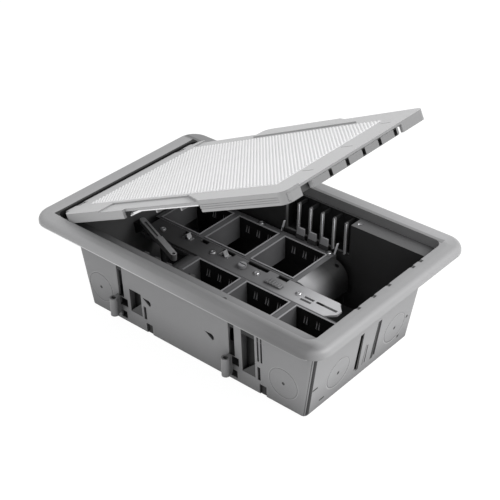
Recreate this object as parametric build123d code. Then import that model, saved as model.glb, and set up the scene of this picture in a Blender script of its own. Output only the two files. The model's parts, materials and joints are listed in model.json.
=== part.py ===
# Floor socket box: a moulded tub let into the floor, a domed trim frame and a hinged lid with
# sliding cable exits, over two rows of socket openings.
# Millimetres. While modelling, the floor line (underside of the trim) is z = 0, +X is the long
# side and the lid's hinge runs along Y at the -X end. Finished parts are lifted so that the
# underside of the tub lies at z = 0.

import os
from math import cos, radians, sin

from build123d import *

# Socket rows
SOCKET_SIZE = 45.0
SOCKET_COUNT = 3
SOCKET_PITCH = 53.5
SOCKET_DEPTH = 22.0
SOCKET_WALL = 1.6
LIP_WIDTH = 1.3
LIP_HEIGHT = 0.8
TOOTH_PLACES = (-12.5, 0.0, 12.5)
TOOTH_WIDTH = 3.6
ROW_DROP = 35.0
ROW_PLATE = 2.0
ROW_SHIFT = 36.6
ROW_MARGIN = 6.0
ROW_INNER_MARGIN = 3.5
ROW_OUTER_MARGIN = 7.1
ROW_SCREW_PLACES = (-36.6, 40.2)
TAB_START = 6.2
TAB_PITCH = 12.9
TAB_COUNT = 3
TAB_WIDTH = 10.0
TAB_RISE = 12.0
PEG_PLACES = (-14.8, 44.4)
PEG_WIDTH = 1.4
PEG_LEAN = 3.4
PEG_RISE = 12.3

# Rail between the rows
RAIL_HALF_WIDTH = 11.1
RAIL_GAP = 0.3
RAIL_SHELF = 1.8
RAIL_PLATE = 2.0
RAIL_FLANGE = 10.0
RAIL_CHAMFER = 8.0
RAIL_START_ROOM = 21.7
RAIL_END_ROOM = 34.7
PILLAR_PLACES = (-98.0, -38.0, 12.0, 58.0)
PILLAR_RADIUS = 4.0
KNOB_X = -4.0
KNOB_Y = 0.0
KNOB_RADIUS = 3.8
KNOB_HEIGHT = 3.6
KNOB_STEM = 1.6
LOCK_START = 25.0
LOCK_LENGTH = 17.0
LOCK_WIDTH = 5.4
LOCK_SLOT = 3.0
LOCK_NECK_MARGIN = 5.0
LOCK_Y = -3.2
LOCK_PLAY = 0.2
CLIP_PLACES = (-71.0, -27.5)
CLIP_HALF_LENGTH = 5.0
CLIP_HEIGHT = 4.8
CLIP_STRIP = 0.7
CLIP_INNER = 1.5
CLIP_OUTER = RAIL_HALF_WIDTH - 4.6
EDGE_SLOTS = ((-80.0, -72.0), (-59.0, -51.0), (-34.5, -20.5), (-5.0, 18.0), (28.5, 39.5))
EDGE_SLOT_WIDTH = 3.2
EDGE_SLOT_MARGIN = 1.0
MID_SLOTS = ((64.0, 74.0), (77.0, 84.0))
MID_SLOT_WIDTH = 2.4

# Screws
SCREW_SHAFT_RADIUS = 1.4
SCREW_HEAD_RADIUS = 2.8
SCREW_HEAD_HEIGHT = 1.6
SCREW_LENGTH = 7.0
SCREW_CLEARANCE = 0.1
BRACKET_WIDTH = 7.0
BRACKET_HEIGHT = 9.0

# Places that follow from the rows
ROW_INNER = RAIL_HALF_WIDTH + RAIL_GAP
ROW_OPENING_CENTRE = ROW_INNER + ROW_INNER_MARGIN + SOCKET_SIZE / 2
ROW_OUTER = ROW_OPENING_CENTRE + SOCKET_SIZE / 2 + ROW_OUTER_MARGIN
ROW_REACH = ROW_SHIFT + SOCKET_PITCH * (SOCKET_COUNT - 1) / 2 + SOCKET_SIZE / 2 + ROW_MARGIN

# Tub
TUB_DEPTH = 87.6
TUB_SIDE_ROOM = 6.7
TUB_END_ROOM = 16.1
TUB_SIDE_TAPER = 3.3
TUB_END_TAPER = 13.6
TUB_WIDTH = 2 * (ROW_OUTER + TUB_SIDE_ROOM)
TUB_LENGTH = 2 * (ROW_REACH + TUB_END_ROOM)
TUB_BASE_LENGTH = TUB_LENGTH - 2 * TUB_END_TAPER
TUB_BASE_WIDTH = TUB_WIDTH - 2 * TUB_SIDE_TAPER
TUB_CORNER = 4.0
TUB_WALL = 2.2
TUB_BASE_FILLET = 1.2
LEDGE_DROP = 2.8
LEDGE_THICKNESS = 2.4
LEDGE_SIDE = 13.05
LEDGE_END = 3.8
COLLAR_GAP = 0.3
COLLAR_WALL = 1.8
COLLAR_RISE = 1.6
RAIL_START = -TUB_LENGTH / 2 + RAIL_START_ROOM
RAIL_END = TUB_LENGTH / 2 - RAIL_END_ROOM

# Knockouts, slots and screw tubes in the tub's walls
KNOCKOUT_RADIUS = 14.5
KNOCKOUT_GROOVE = 0.5
KNOCKOUT_GROOVE_DEPTH = 0.25
KNOCKOUT_PIN_RADIUS = 1.4
KNOCKOUT_DROP = 63.2
SIDE_KNOCKOUT_PLACES = (-106.0, 100.0)
END_CENTRE = 5.2
END_KNOCKOUT_PLACE = 38.5
END_GROOVE_PLACE = 12.8
END_GROOVE_WIDTH = 3.2
END_GROOVE_TOP = 39.0
END_GROOVE_BOTTOM = 78.0
END_GROOVE_DEPTH = 1.4
END_MARK_WIDTH = 1.2
END_MARK_TOP = 58.0
SCREW_TUBE_PLACES = (-83.5, 45.5)
REAR_TUBE_SHIFT = 21.5
SCREW_TUBE_RADIUS = 3.7
SCREW_BORE_RADIUS = 2.2
SCREW_TUBE_REACH = 4.3
SCREW_TUBE_OFFSET = TUB_WIDTH / 2 + SCREW_TUBE_REACH
SCREW_TUBE_TOP = 60.6
SCREW_TUBE_BOTTOM = 78.6
CLAW_SLOT_PLACES = (-83.6, 43.6)
CLAW_SLOT_WIDTH = 6.2
CLAW_SLOT_TOP = 32.8
CLAW_SLOT_BOTTOM = 62.0
TUBE_WINDOW_WIDTH = 9.7
TUBE_WINDOW_TOP = 62.5
TUBE_WINDOW_BOTTOM = 71.0
TUBE_NOTCH_WIDTH = 7.0
TUBE_NOTCH_TOP = 76.5
TUBE_NOTCH_BOTTOM = 84.0
POCKET_START = 13.7
POCKET_WIDTH = 13.8
POCKET_FACE = ROW_OUTER - 1.2
POCKET_WALL = 1.8
POCKET_BOTTOM = 72.0
POCKET_TOPS = (48.7, 33.4)
POCKET_SLANT = 13.5
TWIN_SLOT_PLACES = (16.3, 19.8)
TWIN_SLOT_WIDTH = 1.7
TWIN_SLOT_TOP = 34.0
TWIN_SLOT_BOTTOM = 54.2
CATCH_SLOT_PLACE = 16.1
CATCH_SLOT_WIDTH = 3.0
CATCH_SLOT_TOP = 60.0
CATCH_SLOT_BOTTOM = 73.4
FOOT_NOTCH_PLACE = 17.8
FOOT_NOTCH_WIDTH = 7.2
FOOT_NOTCH_TOP = 77.0
FOOT_NOTCH_DEPTH = 1.6
CRESCENT_PLACES = (-54.4, 17.4)
CRESCENT_TOP = 51.0
CRESCENT_WIDTH = 8.4
CRESCENT_HEIGHT = 6.0

# Niche in the rear wall, with upright ribs in its mouth
NICHE_START = -14.0
NICHE_END = 57.0
NICHE_DEPTH = 12.4
NICHE_FACE = TUB_WIDTH / 2 - TUB_WALL + NICHE_DEPTH
NICHE_WALL = 1.8
NICHE_BOTTOM = 34.0
NICHE_RIB_START = -0.3
NICHE_RIB_PITCH = 12.9
NICHE_RIB_COUNT = 5
NICHE_RIB_THICKNESS = 1.8
NICHE_RIB_DEPTH = 3.2
NICHE_ARM_HEIGHT = 3.0

# Comb ribs on the inside of the front wall
COMB_COUNT = NICHE_RIB_COUNT
COMB_PITCH = NICHE_RIB_PITCH
COMB_START = NICHE_RIB_START
COMB_REACH = 8.0
COMB_THICKNESS = 1.8
COMB_TOP = 4.0
COMB_BOTTOM = 34.0

# Cable guide and arm
GUIDE_RADIUS = 18.0
GUIDE_THICKNESS = 2.0
GUIDE_DROP = 9.0
GUIDE_START = ROW_INNER + 1.9
GUIDE_END = ROW_OUTER - 5.5
ARM_ROOT = (-TUB_LENGTH / 2 + 15.7, -4.5)
ARM_TIP = (-57.0, -29.0)
ARM_WIDTH = 5.6
ARM_HEIGHT = 4.6
ARM_STEP = 1.6
ARM_STEP_SHARE = 0.55

# Trim frame
OPENING_LENGTH = TUB_LENGTH + 2 * LEDGE_END
OPENING_WIDTH = TUB_WIDTH + 2 * LEDGE_SIDE
OPENING_CORNER = 8.0
TRIM_END_BAND = 16.5
TRIM_SIDE_BAND = 15.25
TRIM_LENGTH = OPENING_LENGTH + 2 * TRIM_END_BAND
TRIM_WIDTH = OPENING_WIDTH + 2 * TRIM_SIDE_BAND
TRIM_CORNER = 18.0
TRIM_HEIGHT = 6.8
TRIM_DOME = 5.2
TRIM_FOOT = 3.2
TRIM_SKIN = 2.2
TRIM_LIP_DROP = 0.8
TRIM_LIP_SLOPE = 6.0
SKIRT_WALL = 2.0
CATCH_WIDTH = 4.0
CATCH_HEIGHT = 3.0
CATCH_PLACES = (-31.3, -11.2, 8.4, 41.2, 52.3)

# Lid
LID_REST_ANGLE = 24.9
LID_TOP = 6.3
LID_THICKNESS = 8.5
LID_SKIN = 3.6
LID_RIM = 2.5
LID_SIDE_GAP = 0.9
LID_FREE_GAP = 1.0
LID_CORNER = 7.0
HINGE_CORNER = 8.0
HINGE_RADIUS = 2.4
HINGE_INSET = 4.4
HINGE_LUG_PLACE = 62.0
HINGE_LUG_WIDTH = 8.0
HINGE_PIN_RADIUS = 1.2
HINGE_PIN_LENGTH = 20.0
HINGE_PLAY = 0.1
PLATE_START = 18.0
PLATE_END_MARGIN = 26.6
PLATE_SIDE_MARGIN = 20.35
PLATE_THICKNESS = 2.0
STIFFENER_THICKNESS = 1.5
SEAT_WIDTH = 7.0
SEAT_THICKNESS = 2.0
SHELF_WIDTH = 16.85
SHELF_DROP = 1.2
RIM_INSET = 3.4
MARK_WIDTH = 0.7
MARK_DEPTH = 0.4
MARK_END_MARGIN = 11.5
MARK_LENGTH = 11.5
MARK_PLACES = (-39.8, 7.0, 56.0)
SHUTTER_LENGTH = 90.0
SHUTTER_MITRE = 30.0
SHUTTER_THICKNESS = 2.4
HOOK_REACH = 1.2
HOOK_THICKNESS = 1.2
SHUTTER_PLAY = 0.3
SHUTTER_CORNER = 7.0
SKIRT_LINE_COUNT = 3
SKIRT_LINE_PITCH = 1.7
SKIRT_LINE_WIDTH = 0.45
SKIRT_LINE_DEPTH = 0.35
FRONT_EXIT_START = 87.0
REAR_WAY_START = 13.0
STRIP_THICKNESS = 1.2
STRIP_HEIGHT = 1.5
LATCH_LENGTH = 104.5
LATCH_START = -56.0
LATCH_BACK_TRAVEL = 13.0
LATCH_ON_TRAVEL = 5.0
LATCH_DEPTH = 5.4
LATCH_TOP = 2.2
LATCH_HEIGHT = 5.8
LATCH_TRACK = 0.8
LATCH_NOTCH_COUNT = 5
LATCH_NOTCH_PITCH = 20.0
LATCH_NOTCH_MARGIN = 4.0
LATCH_NOTCH_WIDTH = 3.6

FREE_EDGE = OPENING_LENGTH / 2 - LID_FREE_GAP
HINGE_X = -OPENING_LENGTH / 2 + HINGE_INSET
HINGE_Z = LID_TOP - HINGE_RADIUS
LID_HALF_WIDTH = OPENING_WIDTH / 2 - LID_SIDE_GAP
LID_REACH = FREE_EDGE - HINGE_X
PLATE_END = LID_REACH - PLATE_END_MARGIN
PLATE_HALF_WIDTH = LID_HALF_WIDTH - PLATE_SIDE_MARGIN
SHELF_HALF_WIDTH = LID_HALF_WIDTH - SHELF_WIDTH
REAR_EXIT_START = LID_REACH - FRONT_EXIT_START - SHUTTER_LENGTH
LATCH_INNER = LID_REACH - LATCH_DEPTH
LATCH_RECESS_START = LATCH_START - LATCH_BACK_TRAVEL
LATCH_RECESS_END = LATCH_START + LATCH_LENGTH + LATCH_ON_TRAVEL


def block(x0, x1, y0, y1, z0, z1):
    """Box between two corners."""
    return Pos((x0 + x1) / 2, (y0 + y1) / 2, (z0 + z1) / 2) * Box(x1 - x0, y1 - y0, z1 - z0)


def slab(length, width, radius, z0, z1):
    """Plate with rounded corners between two heights."""
    return extrude(Pos(0, 0, z0) * RectangleRounded(length, width, radius), z1 - z0)


def post(x, y, radius, z0, z1):
    """Upright round bar between two heights."""
    return Pos(x, y, (z0 + z1) / 2) * Cylinder(radius, z1 - z0)


def half_turn(shape):
    """The same shape turned half a turn about the upright axis."""
    return Rot(0, 0, 180) * shape


def prism_y(points, y0, y1):
    """Outline in X and Z, drawn out along Y."""
    outline = make_face(Polyline([(x, y0, z) for x, z in points], close=True))
    return extrude(outline, y1 - y0, dir=(0, 1, 0))


def prism_x(points, x0, x1):
    """Outline in Y and Z, drawn out along X."""
    outline = make_face(Polyline([(x0, y, z) for y, z in points], close=True))
    return extrude(outline, x1 - x0, dir=(1, 0, 0))


def prism_z(points, z0, z1):
    """Outline in X and Y, drawn out upwards."""
    outline = make_face(Polyline([(x, y, z0) for x, y in points], close=True))
    return extrude(outline, z1 - z0, dir=(0, 0, 1))


# Trim frame

def trim_frame():
    outer = slab(TRIM_LENGTH, TRIM_WIDTH, TRIM_CORNER, 0, TRIM_HEIGHT)
    outer = fillet(outer.faces().sort_by(Axis.Z)[-1].edges(), TRIM_DOME)
    skirt_length = OPENING_LENGTH + 2 * SKIRT_WALL
    skirt_width = OPENING_WIDTH + 2 * SKIRT_WALL
    skirt_corner = OPENING_CORNER + SKIRT_WALL
    hollow = slab(TRIM_LENGTH - 2 * TRIM_FOOT, TRIM_WIDTH - 2 * TRIM_FOOT, TRIM_CORNER - TRIM_FOOT,
                  -1, TRIM_HEIGHT - TRIM_SKIN)
    hollow -= slab(skirt_length, skirt_width, skirt_corner, -2, TRIM_HEIGHT)
    frame = outer - hollow + slab(skirt_length, skirt_width, skirt_corner, -LEDGE_DROP, 1)
    slope = loft([
        Pos(0, 0, TRIM_HEIGHT - TRIM_LIP_DROP) * RectangleRounded(
            OPENING_LENGTH, OPENING_WIDTH, OPENING_CORNER),
        Pos(0, 0, TRIM_HEIGHT) * RectangleRounded(
            OPENING_LENGTH + 2 * TRIM_LIP_SLOPE, OPENING_WIDTH + 2 * TRIM_LIP_SLOPE,
            OPENING_CORNER + TRIM_LIP_SLOPE)])
    frame -= slope
    frame -= slab(OPENING_LENGTH, OPENING_WIDTH, OPENING_CORNER, -LEDGE_DROP - 1, TRIM_HEIGHT + 1)
    for place in CATCH_PLACES:
        frame -= block(OPENING_LENGTH / 2 - 1, OPENING_LENGTH / 2 + SKIRT_WALL - 0.6,
                       place - CATCH_WIDTH / 2, place + CATCH_WIDTH / 2,
                       LID_TOP - CATCH_HEIGHT, TRIM_HEIGHT + 1)
    return frame


# Tub

def tub_section(z, inset):
    """Outline of the tub at a height, drawn in by an inset."""
    share = z / TUB_DEPTH
    length = TUB_LENGTH + (TUB_LENGTH - TUB_BASE_LENGTH) * share - 2 * inset
    width = TUB_WIDTH + (TUB_WIDTH - TUB_BASE_WIDTH) * share - 2 * inset
    return Pos(0, 0, z) * RectangleRounded(length, width, TUB_CORNER - inset)


def side_wall(z):
    """Distance from the centre line to the outer face of a long wall at a height."""
    return (TUB_WIDTH + (TUB_WIDTH - TUB_BASE_WIDTH) * z / TUB_DEPTH) / 2


SIDE_NORMAL = (0, -TUB_DEPTH, -(TUB_WIDTH - TUB_BASE_WIDTH) / 2)
END_NORMAL = (TUB_DEPTH, 0, -(TUB_LENGTH - TUB_BASE_LENGTH) / 2)
SIDE_PLANE = Plane(origin=(0, -TUB_WIDTH / 2, 0), x_dir=(1, 0, 0), z_dir=SIDE_NORMAL)
END_PLANE = Plane(origin=(TUB_LENGTH / 2, 0, 0), x_dir=(0, 1, 0), z_dir=END_NORMAL)


def through(plane, sketch):
    """Cutter that goes right through a wall."""
    return extrude(plane.offset(-TUB_WALL - 1.2) * sketch, TUB_WALL + 2.2)


def upright(x0, x1, top, bottom):
    """Upright rectangle on a wall, from one depth below the floor line to another."""
    return Pos((x0 + x1) / 2, -(top + bottom) / 2) * Rectangle(x1 - x0, bottom - top)


def wall_slot(plane, x0, x1, top, bottom):
    """Upright slot through a wall."""
    return through(plane, upright(x0, x1, top, bottom))


def wall_groove(plane, x0, x1, top, bottom, depth):
    """Upright groove in the outside of a wall."""
    return extrude(plane.offset(-depth) * upright(x0, x1, top, bottom), TUB_WALL)


def knockout(plane, x):
    """Ring groove and centre mark of a round knockout."""
    ring = Circle(KNOCKOUT_RADIUS) - Circle(KNOCKOUT_RADIUS - KNOCKOUT_GROOVE)
    mark = Circle(KNOCKOUT_PIN_RADIUS)
    cutter = plane.offset(-KNOCKOUT_GROOVE_DEPTH) * Pos(x, -KNOCKOUT_DROP) * (ring + mark)
    return extrude(cutter, 2 * KNOCKOUT_GROOVE_DEPTH)


def front_slots():
    """Slots above the screw tubes and beside the taller pocket, in the front wall only."""
    slots = Part()
    for x in CLAW_SLOT_PLACES:
        slots += wall_slot(SIDE_PLANE, x, x + CLAW_SLOT_WIDTH, CLAW_SLOT_TOP, CLAW_SLOT_BOTTOM)
    pocket = CLAW_SLOT_PLACES[1] + POCKET_START
    for place in TWIN_SLOT_PLACES:
        start = pocket + place
        slots += wall_slot(SIDE_PLANE, start, start + TWIN_SLOT_WIDTH, TWIN_SLOT_TOP, TWIN_SLOT_BOTTOM)
    return slots


def station_cuts(x, pocket_top):
    """Openings below and beside one claw slot in the front wall."""
    cuts = wall_slot(SIDE_PLANE, x + 0.3, x + 0.3 + TUBE_WINDOW_WIDTH, TUBE_WINDOW_TOP, TUBE_WINDOW_BOTTOM)
    cuts += wall_slot(SIDE_PLANE, x + 1, x + 1 + TUBE_NOTCH_WIDTH, TUBE_NOTCH_TOP, TUBE_NOTCH_BOTTOM)
    pocket = x + POCKET_START
    end = pocket + POCKET_WIDTH
    cuts += prism_y([(pocket, -POCKET_BOTTOM), (end, -POCKET_BOTTOM + POCKET_SLANT), (end, -pocket_top),
                     (pocket, -pocket_top)], -TUB_WIDTH, -POCKET_FACE)
    catch = pocket + CATCH_SLOT_PLACE
    cuts += wall_slot(SIDE_PLANE, catch, catch + CATCH_SLOT_WIDTH, CATCH_SLOT_TOP, CATCH_SLOT_BOTTOM)
    foot = pocket + FOOT_NOTCH_PLACE
    return cuts + wall_groove(SIDE_PLANE, foot, foot + FOOT_NOTCH_WIDTH, FOOT_NOTCH_TOP, TUB_DEPTH + 4,
                              FOOT_NOTCH_DEPTH)


def crescent(x):
    """Opening with a level top, a slanting lower edge and a round end, given by its pointed corner."""
    z = -CRESCENT_TOP
    high = (x + CRESCENT_WIDTH * 0.75, z)
    side = (x + CRESCENT_WIDTH * 1.15, z - CRESCENT_HEIGHT * 0.35)
    low = (x + CRESCENT_WIDTH, z - CRESCENT_HEIGHT)
    outline = [Line((x, z), high), ThreePointArc(high, side, low), Line(low, (x, z))]
    return through(SIDE_PLANE, make_face(outline))


def niche_shell():
    """Box outside the rear wall that closes the niche."""
    return block(NICHE_START - NICHE_WALL, NICHE_END + NICHE_WALL, side_wall(-NICHE_BOTTOM) - TUB_WALL / 2,
                 NICHE_FACE + NICHE_WALL, -NICHE_BOTTOM - NICHE_WALL, -LEDGE_DROP - 0.5)


def niche_hollow():
    """Room of the niche, through the wall and the ledge."""
    return block(NICHE_START, NICHE_END, ROW_OUTER - 1, NICHE_FACE, -NICHE_BOTTOM, 0)


def niche_ribs():
    """Upright ribs level with the wall's inner face, held by an arm at the top and the niche's floor."""
    top = -LEDGE_DROP - 0.6
    low = -NICHE_BOTTOM - 0.5
    back = NICHE_FACE + 0.5
    arm = top - NICHE_ARM_HEIGHT
    upper = side_wall(top) - TUB_WALL
    lower = side_wall(low) - TUB_WALL
    outline = [(upper, top), (back, top), (back, arm), (upper + NICHE_RIB_DEPTH, arm),
               (lower + NICHE_RIB_DEPTH, low), (lower, low)]
    half = NICHE_RIB_THICKNESS / 2
    places = [NICHE_RIB_START + index * NICHE_RIB_PITCH for index in range(NICHE_RIB_COUNT)]
    return Part() + [prism_x(outline, x - half, x + half) for x in places]


def screw_tube(x):
    """Tube for a levelling screw, with the web that joins it to the front wall."""
    web = SCREW_TUBE_RADIUS / 2
    tube = post(x, -SCREW_TUBE_OFFSET, SCREW_TUBE_RADIUS, -SCREW_TUBE_BOTTOM, -SCREW_TUBE_TOP)
    return tube + block(x - web, x + web, -SCREW_TUBE_OFFSET, -side_wall(-SCREW_TUBE_BOTTOM) + TUB_WALL / 2,
                        -SCREW_TUBE_BOTTOM, -SCREW_TUBE_TOP)


def pocket_shell(x, pocket_top):
    """Inner wall of one pocket."""
    pocket = x + POCKET_START
    return block(pocket - POCKET_WALL, pocket + POCKET_WIDTH + POCKET_WALL,
                 -side_wall(-POCKET_BOTTOM) + TUB_WALL / 2, -POCKET_FACE + POCKET_WALL,
                 -POCKET_BOTTOM - POCKET_WALL, -pocket_top + POCKET_WALL)


def tub():
    base = -TUB_DEPTH
    body = loft([tub_section(base, 0), tub_section(-LEDGE_DROP, 0)])
    body = fillet(body.faces().sort_by(Axis.Z)[0].edges(), TUB_BASE_FILLET)
    collar_length = OPENING_LENGTH + 2 * (SKIRT_WALL + COLLAR_GAP)
    collar_width = OPENING_WIDTH + 2 * (SKIRT_WALL + COLLAR_GAP)
    collar_corner = OPENING_CORNER + SKIRT_WALL + COLLAR_GAP
    rim_length = collar_length + 2 * COLLAR_WALL
    rim_width = collar_width + 2 * COLLAR_WALL
    rim_corner = collar_corner + COLLAR_WALL
    body += slab(rim_length, rim_width, rim_corner, -LEDGE_DROP - LEDGE_THICKNESS, COLLAR_RISE)
    body -= slab(collar_length, collar_width, collar_corner, -LEDGE_DROP, COLLAR_RISE + 1)
    body -= loft([tub_section(base + TUB_WALL, TUB_WALL), tub_section(0, TUB_WALL)])

    stations = list(zip(CLAW_SLOT_PLACES, POCKET_TOPS))
    added = Part() + [screw_tube(x) for x in SCREW_TUBE_PLACES]
    added += [pocket_shell(x, top) for x, top in stations]
    body += added
    body += Pos(-REAR_TUBE_SHIFT, 0, 0) * half_turn(added)
    cuts = Part() + [station_cuts(x, top) for x, top in stations]
    body -= cuts
    body -= Pos(-REAR_TUBE_SHIFT, 0, 0) * half_turn(cuts)
    body -= front_slots()
    body -= Part() + [crescent(x) for x in CRESCENT_PLACES]
    body += niche_shell()
    body -= niche_hollow()
    body += niche_ribs()

    marks = Part() + [knockout(SIDE_PLANE, x) for x in SIDE_KNOCKOUT_PLACES]
    marks += [knockout(END_PLANE, END_CENTRE + y) for y in (-END_KNOCKOUT_PLACE, END_KNOCKOUT_PLACE)]
    for side in (-1, 1):
        place = END_CENTRE + side * END_GROOVE_PLACE
        marks += wall_groove(END_PLANE, place - END_GROOVE_WIDTH / 2, place + END_GROOVE_WIDTH / 2,
                             END_GROOVE_TOP, END_GROOVE_BOTTOM, END_GROOVE_DEPTH)
    marks += wall_groove(END_PLANE, END_CENTRE - END_MARK_WIDTH / 2, END_CENTRE + END_MARK_WIDTH / 2,
                         END_MARK_TOP, END_GROOVE_BOTTOM, END_GROOVE_DEPTH)
    body -= marks
    body -= half_turn(marks)

    for x in SCREW_TUBE_PLACES:
        for place, y in ((x, -SCREW_TUBE_OFFSET), (-x - REAR_TUBE_SHIFT, SCREW_TUBE_OFFSET)):
            body -= post(place, y, SCREW_BORE_RADIUS, -TUB_DEPTH, 1)

    body += half_turn(comb())
    body += pillars()
    body += brackets() + half_turn(brackets())
    body += end_bracket()
    body -= screw_holes()
    for y in (-HINGE_LUG_PLACE, HINGE_LUG_PLACE):
        body += hinge_lug(y)
    return body


def comb():
    """Hooked ribs on the inside of a long wall, drawn on the rear side."""
    ribs = Part()
    for index in range(COMB_COUNT):
        x = COMB_START + index * COMB_PITCH
        wall = side_wall(-COMB_TOP) - TUB_WALL / 2
        face = side_wall(-COMB_TOP) - TUB_WALL - COMB_REACH
        foot = side_wall(-COMB_BOTTOM) - TUB_WALL / 2
        points = [(wall, -COMB_TOP), (wall - 4, -COMB_TOP), (face, -COMB_TOP - 4), (face, -COMB_BOTTOM + 3),
                  (foot, -COMB_BOTTOM)]
        ribs += prism_x(points, x - COMB_THICKNESS / 2, x + COMB_THICKNESS / 2)
    return ribs


def pillars():
    """Round pillars under the rail."""
    top = -ROW_DROP - RAIL_PLATE
    return Part() + [post(x, 0, PILLAR_RADIUS, -TUB_DEPTH + TUB_WALL / 2, top) for x in PILLAR_PLACES]


def row_screw_places():
    """Places of the screws along the outer edge of the rear row."""
    return [(x, ROW_OUTER - SCREW_HEAD_RADIUS) for x in ROW_SCREW_PLACES]


def brackets():
    """Brackets on the rear wall under the outer edge of the rear row."""
    top = -ROW_DROP - ROW_PLATE
    shapes = Part()
    for x, y in row_screw_places():
        wall = side_wall(top) - TUB_WALL / 2
        foot = side_wall(top - BRACKET_HEIGHT) - TUB_WALL / 2
        inner = ROW_OPENING_CENTRE + SOCKET_SIZE / 2 + SOCKET_WALL + 0.3
        points = [(wall, top), (inner, top), (inner, top - 4), (foot, top - BRACKET_HEIGHT)]
        shapes += prism_x(points, x - BRACKET_WIDTH / 2, x + BRACKET_WIDTH / 2)
    return shapes


def end_bracket():
    """Bracket on the hinge end's wall under the root of the cable arm."""
    top = -ROW_DROP
    wall = (TUB_LENGTH + (TUB_LENGTH - TUB_BASE_LENGTH) * top / TUB_DEPTH - TUB_WALL) / 2
    root = -ARM_ROOT[0]
    points = [(wall, top), (root - 4, top), (root - 4, top - 4), (wall - 1.5, top - 12)]
    return half_turn(prism_y(points, -ARM_ROOT[1] - 4, -ARM_ROOT[1] + 4))


def screw_holes():
    """Holes for the row and rail screws in the brackets and pillars."""
    radius = SCREW_SHAFT_RADIUS + SCREW_CLEARANCE
    top = -ROW_DROP
    holes = Part() + [post(x, y, radius, top - SCREW_LENGTH - 1, top) for x, y in row_screw_places()]
    holes += half_turn(holes)
    holes += [post(x, 0, radius, top - SCREW_LENGTH - 1, top) for x in PILLAR_PLACES]
    return holes


def hinge_lug(y):
    """Lug on the ledge that holds one hinge pin."""
    radius = HINGE_RADIUS - 0.3
    lug = block(HINGE_X - radius, HINGE_X + radius, y - HINGE_LUG_WIDTH / 2, y + HINGE_LUG_WIDTH / 2,
                -LEDGE_DROP - 0.5, HINGE_Z)
    lug += Pos(HINGE_X, y, HINGE_Z) * Rot(90, 0, 0) * Cylinder(radius, HINGE_LUG_WIDTH)
    return lug - Pos(HINGE_X, y, HINGE_Z) * Rot(90, 0, 0) * Cylinder(
        HINGE_PIN_RADIUS + HINGE_PLAY, HINGE_LUG_WIDTH + 1)


# Socket rows and rail

def socket_row(notch):
    """Carrier with three square openings, drawn as the rear row; the notch clears a wall pocket."""
    first = -ROW_SHIFT - SOCKET_PITCH * (SOCKET_COUNT - 1) / 2
    start = first - SOCKET_SIZE / 2 - ROW_MARGIN
    end = first + SOCKET_PITCH * (SOCKET_COUNT - 1) + SOCKET_SIZE / 2 + ROW_MARGIN
    row = block(start, end, ROW_INNER, ROW_OUTER, -ROW_DROP - ROW_PLATE, -ROW_DROP)
    for index in range(SOCKET_COUNT):
        centre = first + index * SOCKET_PITCH
        half = SOCKET_SIZE / 2
        outer = half + SOCKET_WALL
        y = ROW_OPENING_CENTRE
        row += block(centre - outer, centre + outer, y - outer, y + outer,
                     -ROW_DROP - SOCKET_DEPTH, -ROW_DROP - ROW_PLATE)
        lip = half + LIP_WIDTH
        row += block(centre - lip, centre + lip, y - lip, y + lip, -ROW_DROP - ROW_PLATE, -ROW_DROP + LIP_HEIGHT)
        row -= block(centre - half, centre + half, y - half, y + half,
                     -ROW_DROP - SOCKET_DEPTH - 1, -ROW_DROP + 1)
        for side in (-1, 1):
            for place in TOOTH_PLACES:
                row += snap_tooth(centre + place, y, side)
    row += [row_tab(TAB_START + index * TAB_PITCH) for index in range(TAB_COUNT)]
    row += [row_peg(x) for x in PEG_PLACES]
    holes = [post(x, y, SCREW_SHAFT_RADIUS + SCREW_CLEARANCE, -ROW_DROP - 3, -ROW_DROP + 1)
             for x, y in row_screw_places()]
    row -= block(notch - 0.4 - POCKET_WALL, notch + POCKET_WIDTH + POCKET_WALL + 0.4,
                 POCKET_FACE - POCKET_WALL - 0.4, ROW_OUTER + 1, -ROW_DROP - 3, -ROW_DROP + 1)
    return row - (Part() + holes)


def rear_socket_row():
    pocket = CLAW_SLOT_PLACES[1] + POCKET_START
    return socket_row(-pocket - POCKET_WIDTH - REAR_TUBE_SHIFT)


def front_socket_row():
    pocket = CLAW_SLOT_PLACES[1] + POCKET_START
    return half_turn(socket_row(-pocket - POCKET_WIDTH))


def snap_tooth(x, y, side):
    """Wedge that holds a module, on one wall of an opening."""
    wall = y + side * (SOCKET_SIZE / 2 + 0.4)
    tip = y + side * (SOCKET_SIZE / 2 - 1.4)
    points = [(wall, -ROW_DROP - 6), (tip, -ROW_DROP - 12), (wall, -ROW_DROP - 13)]
    return prism_x(points, x - TOOTH_WIDTH / 2, x + TOOTH_WIDTH / 2)


def row_tab(x):
    """Upright cable tab on the outer edge of the rear row."""
    half = TAB_WIDTH / 2
    foot = -ROW_DROP - 1
    top = -ROW_DROP + TAB_RISE
    points = [(x - half, foot), (x + half, foot), (x + half, top), (x - half + 3, top)]
    return prism_y(points, ROW_OUTER - 1.6, ROW_OUTER)


def row_peg(x):
    """Slim leaning peg on the outer edge of the rear row."""
    half = PEG_WIDTH / 2
    foot = -ROW_DROP - 0.5
    top = -ROW_DROP + PEG_RISE
    points = [(x - half, foot), (x + half, foot), (x + half + PEG_LEAN, top), (x - half + PEG_LEAN, top)]
    return prism_y(points, ROW_OUTER - 0.3 - PEG_WIDTH, ROW_OUTER - 0.3)


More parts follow.
